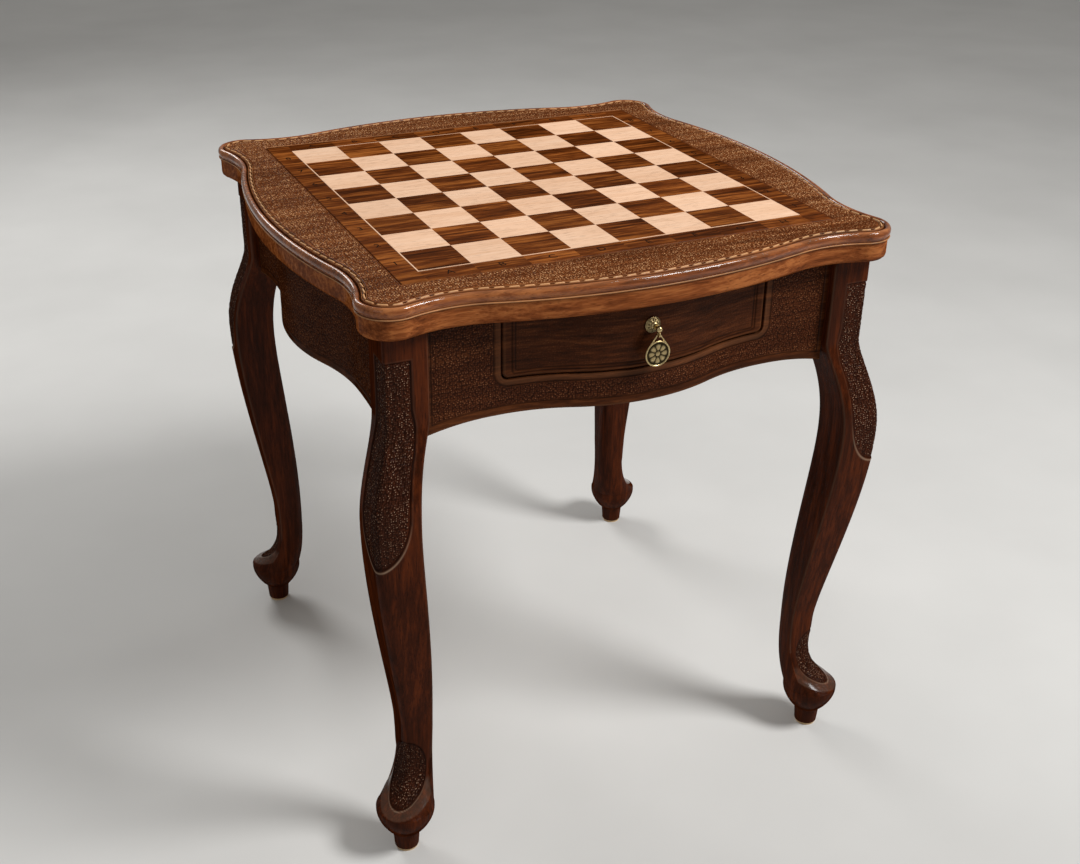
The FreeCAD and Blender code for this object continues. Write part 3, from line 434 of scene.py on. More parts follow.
# The top
SIDE_ROUND, DIP_ROUND, EAR_ROUND, EAR_SETBACK = 600.0, 125.0, 31.0, 48.0
SIDE_STEPS, DIP_STEPS, EAR_STEPS, FINE = 172, 46, 40, 2
BAND_INSET, BAND_ROUND, BEAD_DEPTH = 2.5, 4.0, 12.0
BEAD_INSET, BEAD_WIDTH, BEAD_RISE, BEAD_DROP = 3.6, 3.3, 4.8, 5.6
BEAD_TURNS = np.radians(np.linspace(-52, 152, 17))
GROOVE_INSET, GROOVE_DEPTH, RECESS_DEPTH = 7.2, 3.9, 11.0
ROPE_INSET, ROPE_PITCH, ROPE_LENGTH, ROPE_WIDTH, ROPE_SLANT = 10.2, 13.5, 9.8, 3.2, 1.5
ROPE_ROWS, ROPE_DEPTH, ROPE_RISE = 10, 1.7, 1.5
GROUND_INSET, GROUND_PITCH, GROUND_DEPTH, GROUND_COLUMNS, GROUND_ROWS = 13.2, 2.6, 0.6, 600, 64
JOINT_LINE, JOINT_SHADE_WIDTH, RIM_LINE, EDGE_DROP, GROUND_DROP = 0.9, 1.6, 0.5, 0.5, 0.1
SEAT = TABLE_TOP - 4.0
# Painted shade and painted highlight along the joint round the board: at the front and back, then at the
# left and right
JOINT_SHADE_AND_HIGHLIGHT = ((0.0, 0.4), (0.9, 0.0))
# Rows of inset, rise over the lip or drop below the top, painted shade, and wear with painted highlight
LIP_ROWS = (
    (2.5, -7.0, 0, 0), (2.5, -1.6, 0, 0), (2.4, -0.7, 0.8, 0), (1.6, -0.3, 0.5, 0.1), (0.7, 0.1, 0, 0.3),
    (0.5, 0.6, 0, 0.45), (0.8, 1.1, 0, 0.35), (1.5, 1.4, 0.9, 0),
)
OUTER_RIDGE = ((7.4, 2.6, 0.9, 0), (7.8, 1.0, 0.2, 0.1), (8.1, 0.6, 0, 0.3), (8.4, 1.0, 0.3, 0.1))
INNER_RIDGE = ((12.0, 1.0, 0.3, 0.1), (12.3, 0.6, 0, 0.3), (12.7, 0.9, 0.1, 0.1), (13.1, 1.6, 0.8, 0))


def outline(inset, fine=1):
    """Serpentine outline of the top, moved inward, as points round the table from the front left."""
    side = np.array((0.0, SIDE_ROUND - REACH))
    ear = np.array((REACH - EAR_SETBACK, EAR_SETBACK - REACH))
    reach_side, reach_ear = SIDE_ROUND + DIP_ROUND, EAR_ROUND + DIP_ROUND
    line = ear - side
    far = np.hypot(*line)
    along = (reach_side ** 2 - reach_ear ** 2 + far ** 2) / (2 * far)
    across = math.sqrt(reach_side ** 2 - along ** 2)
    line /= far
    dip = side + line * along + np.array((line[1], -line[0])) * across
    turn_side = math.atan2(*(dip - side)[::-1])
    turn_ear = math.atan2(*(dip - ear)[::-1])
    arcs = (
        (side, SIDE_ROUND - inset, -math.pi - turn_side, turn_side, SIDE_STEPS),
        (dip, DIP_ROUND + inset, turn_side + math.pi, turn_ear + math.pi, DIP_STEPS),
        (ear, EAR_ROUND - inset, turn_ear, -math.pi / 2 - turn_ear, EAR_STEPS),
        (-dip[::-1], DIP_ROUND + inset, math.pi / 2 - turn_ear, math.pi / 2 - turn_side, DIP_STEPS),
    )
    quarter = []
    for centre, radius, first, last, steps in arcs:
        angle = np.linspace(first, last, steps * fine, endpoint=False)
        quarter.append(centre + radius * np.stack((np.cos(angle), np.sin(angle)), axis=-1))
    sides = [np.concatenate(quarter)]
    for _ in range(3):
        sides.append(sides[-1] @ QUARTER_TURN)
    return np.concatenate(sides)


def squared(points):
    """Points of the top's outline moved towards the middle, on to the edge of the board's recess."""
    return points * (RECESS_HALF / np.abs(points).max(axis=1))[:, None]


def make_top():
    """Slab with a rounded bead over a thin lip, a plain band below it and the board's recess."""
    ring = Rows()
    lowest = outline(BAND_INSET + BAND_ROUND)
    for share in (0.2, 0.7):
        ring.add(lowest * share, UNDERSIDE)
    for angle in np.radians((90, 60, 30, 0)):
        inset = BAND_INSET + BAND_ROUND * (1 - math.cos(angle))
        ring.add(outline(inset), UNDERSIDE + BAND_ROUND * (1 - math.sin(angle)))
    lip = TABLE_TOP - BEAD_DEPTH
    # Painted shade under the lip and in the quirk above it; wear and painted highlight along the lip
    for inset, rise, shade, wear in LIP_ROWS:
        ring.add(outline(inset), lip + rise, 0, shade, wear)
    for angle in BEAD_TURNS:
        inset = BEAD_INSET - BEAD_WIDTH * math.cos(angle)
        level = TABLE_TOP - BEAD_DROP + BEAD_RISE * math.sin(angle)
        # Painted highlight along the top of the bead and painted shade where it turns down into the groove
        ring.add(outline(inset), level, -1, 0.7 * ridge(angle - 2.65, 0.3), 0.1 * ridge(angle - 1.1, 0.5))
    # Painted shade in the groove
    ring.add(outline(GROOVE_INSET), TABLE_TOP - GROOVE_DEPTH, 0, 1)
    ring.add(outline(GROUND_INSET), SEAT, 0, 1)
    inner = squared(outline(GROUND_INSET))
    ring.add(inner, SEAT, 0, 1)
    for share in (1, 0.5):
        ring.add(inner * share, TABLE_TOP - RECESS_DEPTH, 0, 1)
    return settle(ring.build("carved_top"), TABLE, "top_wood", carved_top, "top_slab")


def make_rope():
    """Carved line of slanting dashes between two fine ridges, inside the bead."""
    ring = Rows()
    middle = outline(ROPE_INSET, FINE)
    steps = np.hypot(*(np.roll(middle, -1, axis=0) - middle).T)
    length = steps.sum()
    pitch = length / round(length / ROPE_PITCH)
    phase = np.modf((np.cumsum(steps) - steps) / pitch)[0] - 0.5
    end = 0.5 * ROPE_LENGTH / pitch
    window = 1 - ease(end - 0.06, end + 0.04, np.abs(phase))
    half = ROPE_WIDTH / 2
    ring.add(outline(OUTER_RIDGE[0][0], FINE), SEAT, 0, 1)
    for inset, drop, shade, wear in OUTER_RIDGE:
        ring.add(outline(inset, FINE), TABLE_TOP - drop, 0, shade, wear)
    # Painted shadow in the gaps between the dashes and painted highlight on their tops
    for inset in np.linspace(ROPE_INSET - half, ROPE_INSET + half, ROPE_ROWS):
        slant = inset - ROPE_INSET - ROPE_SLANT * phase
        lift = window * np.clip(1 - (slant / (0.75 * half)) ** 2, 0, 1)
        level = TABLE_TOP - ROPE_DEPTH + ROPE_RISE * lift
        ring.add(outline(inset, FINE), level, 0, 0.95 * (1 - ease(0, 0.3, lift)), 0.9 * lift)
    for inset, drop, shade, wear in INNER_RIDGE:
        ring.add(outline(inset, FINE), TABLE_TOP - drop, 0, shade, wear)
    ring.add(outline(INNER_RIDGE[-1][0], FINE), SEAT, 0, 1)
    return settle(ring.build("rope_line", capped=False), TABLE, "top_wood", carved_top)


def make_ground():
    """Punched ground between the carved line and the board, one mitred piece on each side."""
    rim = outline(GROUND_INSET)
    rim = rim[(rim[:, 1] < 0) & (np.abs(rim[:, 0]) <= -rim[:, 1] + 1)]
    bearing = rim[:, 0] / -rim[:, 1]
    order = np.argsort(bearing)
    across = np.linspace(-1, 1, GROUND_COLUMNS)
    far = np.interp(across, bearing[order], -rim[order, 1])
    depth = RECESS_HALF + (far - RECESS_HALF) * np.linspace(0, 1, GROUND_ROWS)[:, None]
    x, y = across * depth, -depth
    gap, rim_gap = depth - RECESS_HALF, far - depth
    matting = ease(0.8, 2.0, gap) * ease(0.2, 1.2, rim_gap)
    edge, rim_line = ridge(gap, JOINT_LINE), ridge(rim_gap, RIM_LINE)
    for number, side in enumerate(SIDES):
        spin = np.linalg.matrix_power(QUARTER_TURN, number)
        place = np.stack((x, y), axis=-1) @ spin
        relief = punched(place[..., 0], place[..., 1], GROUND_PITCH) * matting
        level = TABLE_TOP - GROUND_DROP - GROUND_DEPTH * (matting - relief) - EDGE_DROP * (edge + rim_line)
        grid = np.concatenate((place, level[..., None]), axis=-1)
        # Painted shade along the rim of the ground and, at the left and right, along the joint; painted
        # highlight along the joint at the front and back
        dark, light = JOINT_SHADE_AND_HIGHLIGHT[number % 2]
        shade = 0.6 * rim_line + dark * ridge(gap, JOINT_SHADE_WIDTH)
        layers = (matting, shade, light * edge, place[..., 0], place[..., 1])
        item = make_slab("punched_ground_" + side, grid, 2, SEAT, layers)
        settle(item, TABLE, "top_wood", carved_top)


make_top()
make_rope()
make_ground()


# The board's border
BORDER_DROP, BORDER_BEVEL = 0.15, 0.3
MARK_HEIGHT, MARK_PROUD, CAPITAL_SHARE = 8.5, 0.1, 0.7


def make_border(side, number):
    """Mitred strip of veneer with eased upper edges."""
    spin = np.linalg.matrix_power(QUARTER_TURN, number)
    level = TABLE_TOP - BORDER_DROP
    points = []
    for inset, height in ((0, border_low[2]), (0, level - BORDER_BEVEL), (BORDER_BEVEL, level)):
        inner, outer = STRING_HALF + inset, BOARD_HALF - inset
        plan = np.array(((-outer, -outer), (outer, -outer), (inner, -inner), (-inner, -inner))) @ spin
        points.append(np.column_stack((plan, np.full(4, height))))
    item = solid("board_border_" + side, np.concatenate(points), capped_faces(3, 4), 20)
    settle(item, TABLE, "board_dark", dark_veneer, "border_" + side)


def make_mark(text, side, x, y):
    """Letter or figure inlaid in the border, upright for the player at the drawer."""
    curve = bpy.data.curves.new("mark", "FONT")
    curve.body = text
    curve.align_x, curve.align_y = "CENTER", "CENTER"
    curve.size = MARK_HEIGHT * MM / CAPITAL_SHARE
    curve.extrude = MARK_PROUD * MM / 2
    curve.resolution_u = 6
    lettering = bpy.data.objects.new("mark", curve)
    mesh = bpy.data.meshes.new_from_object(lettering)
    bpy.data.objects.remove(lettering)
    bpy.data.curves.remove(curve)
    level = TABLE_TOP - BORDER_DROP + MARK_PROUD / 2
    mesh.transform(Matrix.Translation(Vector((x, y, level)) * MM))
    mesh.materials.clear()
    item = bpy.data.objects.new(f"mark_{side}_{text}", mesh)
    bpy.context.scene.collection.objects.link(item)
    settle(item, TABLE, "board_dark", ink_veneer)


for number, name in enumerate(SIDES):
    make_border(name, number)
for number in range(8):
    middle, strip = (number - 3.5) * SQUARE, (STRING_HALF + BOARD_HALF) / 2
    for end, letter_side, figure_side in ((-1, "front", "left"), (1, "back", "right")):
        make_mark("ABCDEFGH"[number], letter_side, middle, end * strip)
        make_mark("12345678"[number], figure_side, end * strip, middle)


# The legs
FOOT_CENTRE = (felt_low[0] + felt_high[0]) / 2
PAD_RADIUS = leg_high[0] - FOOT_CENTRE
POST_FACE, POST_INNER, ARRIS = 254.0, leg_low[0], 3.0
KNEE_TOP, KNEE, KNEE_FACE, KNEE_WIDTH = UNDERSIDE - 88, UNDERSIDE - 190, 276.2, 46.0
ANKLE, ANKLE_FACE, ANKLE_WIDTH, OUTER_ROUND, INNER_ROUND = 142.0, 247.0, 32.0, 7.5, 15.0
PAD_LEDGE, PAD_TOP, PAD_RIM, PEG_TOP, PEG_RADIUS, TOE_RADIUS = 0.5, 55.0, 51.0, 22.0, 14.0, 12.5
OUTER_COLUMNS, INNER_COLUMNS = 64, 16
SHIELD_TOP, SHIELD_TURN, SHIELD_TIP, SHIELD_DEPTH, SHIELD_PITCH = 553.0, 412.0, 358.0, 1.4, 3.0
SHIELD_WAIST, SHIELD_SWELL, WIDE_MARGIN, NARROW_MARGIN, SHIELD_LIP = 505.0, 468.0, 16.0, 10.0, 0.25
SPOON_TOP, SPOON_HEART, SPOON_LOW, SPOON_HALF = 130.0, 83.0, 61.0, 25.5
SPOON_DEPTH, SPOON_STEP, SPOON_PITCH, PUNCH_RISE = 1.8, 0.7, 3.0, 0.75
CRESCENT_LOW, CRESCENT_HALF, CRESCENT_DEPTH, CRESCENT_WIDTH = 55.0, 46.0, 2.6, 10.0
ARRIS_LOW, SHIELD_ROW, SPOON_ROW = ANKLE - 40, 0.85, 0.7


def s_curve(start, end, eases):
    """Curve of the leg between two (reach, height) places that leaves and arrives upright."""
    fall = start[1] - end[1]
    return bezier((start, (start[0], start[1] - eases[0] * fall), (end[0], end[1] + eases[1] * fall), end))


outer_line = np.concatenate((
    s_curve((POST_FACE, KNEE_TOP), (KNEE_FACE, KNEE), (0.20, 0.45)),
    s_curve((KNEE_FACE, KNEE), (ANKLE_FACE, ANKLE), (0.34, 0.14)),
))[::-1]
inner_line = np.concatenate((
    s_curve((POST_INNER, KNEE_TOP), (KNEE_FACE - KNEE_WIDTH, KNEE), (0.15, 0.60)),
    s_curve((KNEE_FACE - KNEE_WIDTH, KNEE), (ANKLE_FACE - ANKLE_WIDTH, ANKLE), (0.20, 0.38)),
))[::-1]
pad_fall = PAD_RIM - PEG_TOP
pad_line = bezier((
    (PAD_RADIUS, PAD_RIM), (PAD_RADIUS, PAD_RIM - 0.30 * pad_fall),
    ((PAD_RADIUS + PEG_RADIUS) / 2, PEG_TOP + 0.22 * pad_fall), (PEG_RADIUS, PEG_TOP),
))[::-1]


def leg_section(height):
    """Centre, half width and outer, side and inner corner radii of the leg's section at one height."""
    if height >= ANKLE:
        outer = np.interp(height, outer_line[:, 1], outer_line[:, 0])
        inner = np.interp(height, inner_line[:, 1], inner_line[:, 0])
        above = np.clip((KNEE_TOP - height) / (KNEE_TOP - KNEE), 0, 1)
        below = np.clip((KNEE - height) / (KNEE - ANKLE), 0, 1)
        rounds = (ARRIS + (OUTER_ROUND - ARRIS) * above, ARRIS, ARRIS + (INNER_ROUND - ARRIS) * below)
        return (outer + inner) / 2, (outer - inner) / 2, rounds
    if height > PAD_TOP:
        share = (ANKLE - height) / (ANKLE - PAD_TOP)
        swell, start = share ** 3, ANKLE_WIDTH / 2
        ankle = ANKLE_FACE - start
        half = start + (PAD_RADIUS - PAD_LEDGE - start) * swell
        corners = (OUTER_ROUND, ARRIS, INNER_ROUND)
        rounds = [half * (first + (start - first) * share) / start for first in corners]
        return ankle + (FOOT_CENTRE - ankle) * swell, half, [min(size, half - 0.6) for size in rounds]
    if height >= PAD_RIM:
        radius = PAD_RADIUS
    elif height >= PEG_TOP:
        radius = np.interp(height, pad_line[:, 1], pad_line[:, 0])
    else:
        radius = np.interp(height, (felt_high[2], PEG_TOP), (TOE_RADIUS, PEG_RADIUS))
    return FOOT_CENTRE, radius, [radius * 0.99] * 3


def quarter_line(half, start, end, share):
    """Points, outward directions and distances along a quarter of a rounded square, corner to corner."""
    first, last, flat = math.pi * start / 4, math.pi * end / 4, 2 * half - start - end
    run = share * (first + flat + last)
    past = run >= first + flat
    end_turn = np.where(past, (run - first - flat) / end, 0)
    angle = math.pi / 4 + np.minimum(run / start, math.pi / 4) + end_turn
    heading = np.stack((np.cos(angle), np.sin(angle)), axis=-1)
    radius = np.where(past, end, start)
    middle = np.where(past, end - half, half - start - np.clip(run - first, 0, flat))
    points = radius[:, None] * heading + np.stack((middle, half - radius), axis=-1)
    return points, heading, run, first + flat + last


def leg_carving(height, along, quarter):
    """Depth, matting, painted shade, and wear with painted highlight of the carving on the leg's two outer
    faces at one height.
    """
    depth, matting, shade, wear = (np.zeros(len(along)) for _ in range(4))
    # Shield on the knee
    if SHIELD_TIP - 5 < height < SHIELD_TOP + 4:
        half = quarter - np.interp(height, (SHIELD_SWELL, SHIELD_WAIST), (NARROW_MARGIN, WIDE_MARGIN))
        if height > SHIELD_TURN:
            inside = np.minimum(half - np.abs(along), SHIELD_TOP - height)
        else:
            fall = SHIELD_TURN - SHIELD_TIP
            inside = (1 - np.hypot(along / half, (SHIELD_TURN - height) / fall)) * min(half, fall)
        matting = ease(1.2, 2.4, inside)
        relief = punched(along, np.full(len(along), height), SHIELD_PITCH)
        depth += SHIELD_DEPTH * ease(0.0, 1.4, inside) - PUNCH_RISE * relief * matting
        lip = ease(SHIELD_TURN, SHIELD_TIP, height)
        depth -= SHIELD_LIP * lip * ridge(inside + 1.0, 0.8)
        # Painted shade just inside the shield's edge and painted highlight along its lip, strongest towards
        # the tip
        shade += 0.95 * ridge(inside - 0.8, 0.8)
        wear += (0.03 + 0.4 * lip) * ridge(inside + 0.9, 0.6)
    # Spoon on the foot, with a bevelled crescent below and beside it
    if CRESCENT_LOW - 2 < height < SPOON_TOP + 4:
        span = SPOON_TOP - SPOON_HEART if height > SPOON_HEART else SPOON_HEART - SPOON_LOW
        inside = (1 - np.hypot(along / SPOON_HALF, (height - SPOON_HEART) / span)) * SPOON_HALF
        fade = 1 - ease(SPOON_HEART, SPOON_TOP + 4, height)
        span = max(span, SPOON_HEART - CRESCENT_LOW)
        bevel = (1 - np.hypot(along / CRESCENT_HALF, (height - SPOON_HEART) / span)) * CRESCENT_HALF
        depth += CRESCENT_DEPTH * fade * np.clip(bevel / CRESCENT_WIDTH, 0, 1)
        upper = ease(SPOON_HEART - 4, SPOON_HEART + 4, height)
        facet = ease(0.0, 0.6, bevel) * (1 - ease(-0.4, 0.2, inside)) * (1 - upper)
        ground = ease(0.8, 2.4, inside)
        relief = punched(along, np.full(len(along), height), SPOON_PITCH)
        depth += SPOON_DEPTH * fade * ease(0.0, 6.0, inside) + SPOON_STEP * ease(0.0, 1.2, inside)
        depth -= PUNCH_RISE * relief * ground
        matting = np.maximum(matting, ground) - 0.6 * facet
        # Painted shade just inside the spoon's edge, painted reflection on the crescent and painted
        # highlight on the spoon's lower lip
        shade += 0.9 * ridge(inside - 0.9, 0.9)
        wear += 0.05 * facet + 0.3 * ease(SPOON_HEART + 6, SPOON_LOW, height) * ridge(inside + 0.5, 0.4)
    return depth, matting, shade, wear


def make_legs():
    """Cabriole leg with a punched shield on the knee and a spoon on the foot, mirrored to each corner."""
    heights = np.concatenate((
        np.arange(UNDERSIDE, SHIELD_TOP + 3, -4), np.arange(SHIELD_TOP + 2, SHIELD_TIP - 4, -SHIELD_ROW),
        np.linspace(SHIELD_TIP - 6, SPOON_TOP + 6, 60), np.arange(SPOON_TOP + 4, PAD_TOP + 0.6, -SPOON_ROW),
        np.arange(PAD_TOP + 0.2, PAD_RIM - 0.1, -0.6),
        PEG_TOP + pad_fall * (1 - np.linspace(0, 1, 18)[1:]) ** 0.8,
        (PEG_TOP - 0.6, PEG_TOP - 4, felt_high[2] + 6, felt_high[2] + 0.8, felt_high[2]),
    ))
    columns = (OUTER_COLUMNS, INNER_COLUMNS, INNER_COLUMNS, OUTER_COLUMNS)
    ring = Rows()
    for height in heights:
        centre, half, (outer, side, inner) = leg_section(height)
        ends = ((outer, side), (side, inner), (inner, side), (side, outer))
        line = []
        for turn, count in enumerate(columns):
            steps = np.arange(count) / count
            share = steps - 0.3 * np.sin(2 * np.pi * steps) / (2 * np.pi)
            points, heading, run, quarter = quarter_line(half, *ends[turn], share)
            across = run if turn == 0 else run - quarter
            depth, matting, shade, wear = (np.zeros(count) for _ in range(4))
            if turn in (0, 3):
                depth, matting, shade, wear = leg_carving(height, across, quarter)
            # Painted highlight along the arrises above the foot
            if height > ARRIS_LOW:
                to_arris = quarter - run if turn in (0, 2) else run
                wear = wear + 0.06 * ridge(to_arris, 1.0) * (1 - matting) * (height < UNDERSIDE - 4)
            spin = np.linalg.matrix_power(QUARTER_TURN, turn)
            points = (points - heading * depth[:, None]) @ spin + centre
            line.append(np.column_stack((points, matting, shade, wear, across)))
        line = np.concatenate(line)
        ring.add(line[:, :2], height, *line[:, 2:].T, height)
    for name, sides in CORNERS.items():
        settle(ring.build("carved_leg_" + name, mirror=sides), TABLE, "leg_wood", carved_leg, "leg_" + name)


make_legs()


# The aprons and the drawer front
APRON_FACE, APRON_ROUND, APRON_HALF = 244.5, 203.0, POST_INNER
RAIL_LOW, RAIL_STRAIGHT, BRACKET_ROUND = 478.0, 149.0, 270.0
REVEAL, OPENING_CORNER, FRONT_CORNER = 2.0, 8.0, 6.0
OPENING_HALF = front_high[0] + REVEAL
SIDE_BAND, UNDER_BAND, BAND_CORNER, LOWER_BAND, LEG_BAND = 7.0, 6.0, 15.0, 8.6, 4.5
APRON_PITCH, APRON_DEPTH, LINE_WIDTH, LINE_DEPTH, EDGE_EASE = 2.8, 0.6, 0.7, 0.6, 0.8
RAIL_COLUMNS, END_COLUMNS, CORNER_COLUMNS, RAIL_ROWS, UPPER_ROWS = 148, 82, 9, 46, 69
OUTER_LINE, OUTER_FOOT, OUTER_CORNER = 9.0, 3.8, 3.0
INNER_LINE, INNER_FOOT, INNER_CORNER = 12.0, 6.6, 2.0
FRONT_COLUMNS, FRONT_ROWS, FRONT_LINE, FRONT_EASE = 190, 92, 0.8, 1.2
PANEL_SINK, PANEL_RELIEF = 0.45, 0.12


def bow(x):
    """How far the apron's face stands from the middle of the table."""
    x = np.abs(x)
    reach = 2 * APRON_ROUND
    span = math.sqrt(reach ** 2 - (reach - APRON_CROWN + APRON_FACE) ** 2)
    middle = APRON_CROWN - APRON_ROUND + np.sqrt(np.clip(APRON_ROUND ** 2 - x ** 2, 0, None))
    blend = APRON_FACE + APRON_ROUND - np.sqrt(np.clip(APRON_ROUND ** 2 - (span - x) ** 2, 0, None))
    return np.where(x < span / 2, middle, np.where(x < span, blend, APRON_FACE))


def lower_edge(x):
    """Height of the apron's lower edge, which drops in an arc towards each leg."""
    past = np.clip(np.abs(x) - RAIL_STRAIGHT, 0, None)
    return RAIL_LOW - BRACKET_ROUND + np.sqrt(BRACKET_ROUND ** 2 - past ** 2)


def opening_edge(x, half, bottom, corner):
    """Lower edge of an upright opening or panel with rounded lower corners."""
    past = np.clip(np.abs(x) - half + corner, 0, corner)
    return bottom + corner - np.sqrt(corner ** 2 - past ** 2)


def rounded_box(x, z, half, bottom, corner):
    """Distance inside a panel that is open above and has rounded lower corners; negative outside."""
    side, low = half - np.abs(x), z - bottom
    inner = np.minimum(side, low)
    turn = corner - np.hypot(np.clip(corner - side, 0, None), np.clip(corner - low, 0, None))
    return np.where((side < corner) & (low < corner), turn, inner)


def corner_columns(half, corner):
    """Places across a rounded lower corner, closer together towards its end."""
    return half - corner * (1 - np.cos(np.linspace(np.pi / 2, 0, CORNER_COLUMNS)))


def make_apron(side, number):
    """Bowed apron with a punched ground inside plain bands at its lower edge, the legs and any opening."""
    near = corner_columns(OPENING_HALF, OPENING_CORNER)
    ends = np.linspace(OPENING_HALF, APRON_HALF, END_COLUMNS)[1:]
    right = np.concatenate((np.linspace(0, near[0], RAIL_COLUMNS)[:-1], near, ends))
    x = np.concatenate((-right[:0:-1], right))
    low = lower_edge(x)
    middle = opening_edge(x, OPENING_HALF, RAIL_TOP, OPENING_CORNER)
    share_low, share_high = np.linspace(0, 1, RAIL_ROWS)[:, None], np.linspace(0, 1, UPPER_ROWS)[1:, None]
    z = np.concatenate((low + (middle - low) * share_low, middle + (UNDERSIDE - middle) * share_high))
    x = np.broadcast_to(x, z.shape)
    rise = z - lower_edge(x)
    ground = np.minimum(rise - LOWER_BAND, APRON_HALF - np.abs(x) - LEG_BAND)
    line, edge = ridge(ground, LINE_WIDTH), ridge(rise - EDGE_EASE, 1.1)
    keep, moulding = None, np.zeros(z.shape)
    if side == "front":
        outside = -rounded_box(x, z, OPENING_HALF + SIDE_BAND, RAIL_TOP - UNDER_BAND, BAND_CORNER)
        ground = np.minimum(ground, outside)
        line = np.maximum(line, ridge(outside, LINE_WIDTH))
        moulding = ridge(outside + UNDER_BAND / 2, 1.8)
        edge = np.maximum(edge, ridge(outside + UNDER_BAND - 0.6, 0.9))
        keep = np.ones((z.shape[0] - 1, z.shape[1] - 1), bool)
        keep[RAIL_ROWS - 1:, :] = np.abs(x[0, 1:] + x[0, :-1]) / 2 > OPENING_HALF
    matting = ease(0.5, 1.6, ground)
    relief = punched(x, z, APRON_PITCH)
    sink = APRON_DEPTH * matting * (1.15 - relief) + LINE_DEPTH * line + EDGE_EASE * ridge(rise, EDGE_EASE)
    grid = np.stack((x, sink - bow(x), z), axis=-1)
    # Painted shade in the cut line round the ground; painted highlight along the eased edges and on the
    # moulding round the opening
    layers = (matting, 0.9 * line, 0.2 * edge + 0.15 * moulding, x, z)
    item = make_slab("matted_apron_" + side, grid, 1, -APRON_HALF, layers, number, keep)
    settle(item, TABLE, "apron_wood", carved_apron, side + "_apron")


def make_drawer_front():
    """Bowed drawer front with rounded lower corners and a double line cut round its panel."""
    half, bottom, top = front_high[0], front_low[2], front_high[2]
    near = corner_columns(half, FRONT_CORNER)
    right = np.concatenate((np.linspace(0, near[0], FRONT_COLUMNS)[:-1], near))
    x = np.concatenate((-right[:0:-1], right))
    low = opening_edge(x, half, bottom, FRONT_CORNER)
    z = low + (top - low) * np.linspace(0, 1, FRONT_ROWS)[:, None]
    x = np.broadcast_to(x, z.shape)
    inside = np.minimum(rounded_box(x, z, half, bottom, FRONT_CORNER), top - z)
    outer = rounded_box(x, z, half - OUTER_LINE, bottom + OUTER_FOOT, OUTER_CORNER)
    inner = rounded_box(x, z, half - INNER_LINE, bottom + INNER_FOOT, INNER_CORNER)
    line = np.maximum(ridge(outer, LINE_WIDTH), ridge(inner, FRONT_LINE))
    panel = ease(0.6, 1.8, inner)
    relief = punched(x, z, APRON_PITCH)
    sink = FRONT_LINE * line + FRONT_EASE * (1 - ease(0, 1.8, inside))
    sink += panel * (PANEL_SINK - PANEL_RELIEF * relief)
    # Painted shade in the cut lines round the panel and painted highlight along the eased edge
    layers = (0.18 * panel, 0.85 * line, 0.15 * ridge(inside - 1.4, 0.9), x, z)
    grid = np.stack((x, sink - bow(x), z), axis=-1)
    item = make_slab("panelled_drawer_front", grid, 1, front_high[1], layers)
    settle(item, DRAWER, "apron_wood", carved_apron, "drawer_front")


for number, name in enumerate(SIDES):
    make_apron(name, number)
make_drawer_front()


# The drop pull
PULL_COLUMNS, FLUTES, PETALS = 96, 12, 8
PULL_TURNS = np.arange(PULL_COLUMNS) * 2 * np.pi / PULL_COLUMNS
# Rows of inset from the rosette's rim, outward reach and shade
ROSE_EDGE = ((0.1, 0.02, 0.0), (0.02, 0.5, 0.1), (0.3, 1.0, 0.2), (0.8, 1.15, 0.9))
SKIRT_INSET, SKIRT_WIDTH, SKIRT_REACH, SKIRT_RISE, FLUTE_DEPTH, FLUTE_RISE = 0.9, 2.7, 1.3, 2.2, 0.45, 0.5
DOME_INSET, DOME_REACH, DOME_EASE = 4.2, 3.7, 0.05
WIRE, BAIL_SHARE, APEX = 0.78, 0.93, 2.2
RING_RADIUS = pendant_high[0] - WIRE
RING_HEIGHT = pendant_low[2] + pendant_high[0]
EYE_Y = (pendant_low[1] + pendant_high[1]) / 2
DISC_HALF, ROSE_RELIEF, DISC_EDGE = 0.28, 0.45, 0.925


def turned(name, profile, datum, height):
    """Solid turned about an axis along Y at one height.

    Its rows hold a radius and a reach out from a datum, which may both change round the axis, and a shade.
    """
    points, shades = [], []
    for row in profile:
        radius, reach, shade = (np.broadcast_to(part, PULL_COLUMNS) for part in row)
        x, z = radius * np.cos(PULL_TURNS), height + radius * np.sin(PULL_TURNS)
        points.append(np.stack((x, datum - reach, z), axis=-1))
        shades.append(shade)
    item = solid(name, np.concatenate(points), capped_faces(len(points), PULL_COLUMNS), 50)
    paint(item, shade=np.concatenate(shades))
    return item


def make_rosette():
    """Stepped rose with a fluted skirt round a small dome."""
    flute = 0.5 - 0.5 * np.cos(FLUTES * PULL_TURNS)
    wide, tall = rosette_high[0], rosette_high[1] - rosette_low[1]
    profile = [(wide * 0.2, ROSE_EDGE[0][1], 0.0)]
    profile += [(wide - inset, reach, shade) for inset, reach, shade in ROSE_EDGE]
    for share in np.linspace(0, 1, 7):
        bulge = math.sin(math.pi * share)
        radius = wide - SKIRT_INSET - SKIRT_WIDTH * share - FLUTE_DEPTH * flute * bulge
        reach = SKIRT_REACH + SKIRT_RISE * share + FLUTE_RISE * bulge * (1 - flute)
        profile.append((radius, reach, 0.35 + 0.6 * flute * bulge))
    profile.append((wide - DOME_INSET + 0.2, DOME_REACH - 0.1, 0.9))
    for turn in np.radians(np.linspace(0, 86, 9)):
        radius = (wide - DOME_INSET) * math.cos(turn) + DOME_EASE
        reach = DOME_REACH + (tall - DOME_REACH - DOME_EASE) * math.sin(turn)
        profile.append((radius, reach, 0.1))
    item = turned("fluted_rosette", profile, rosette_high[1], PULL_HEIGHT)
    settle(item, DRAWER, "pull_brass", brass, "pull_rosette")


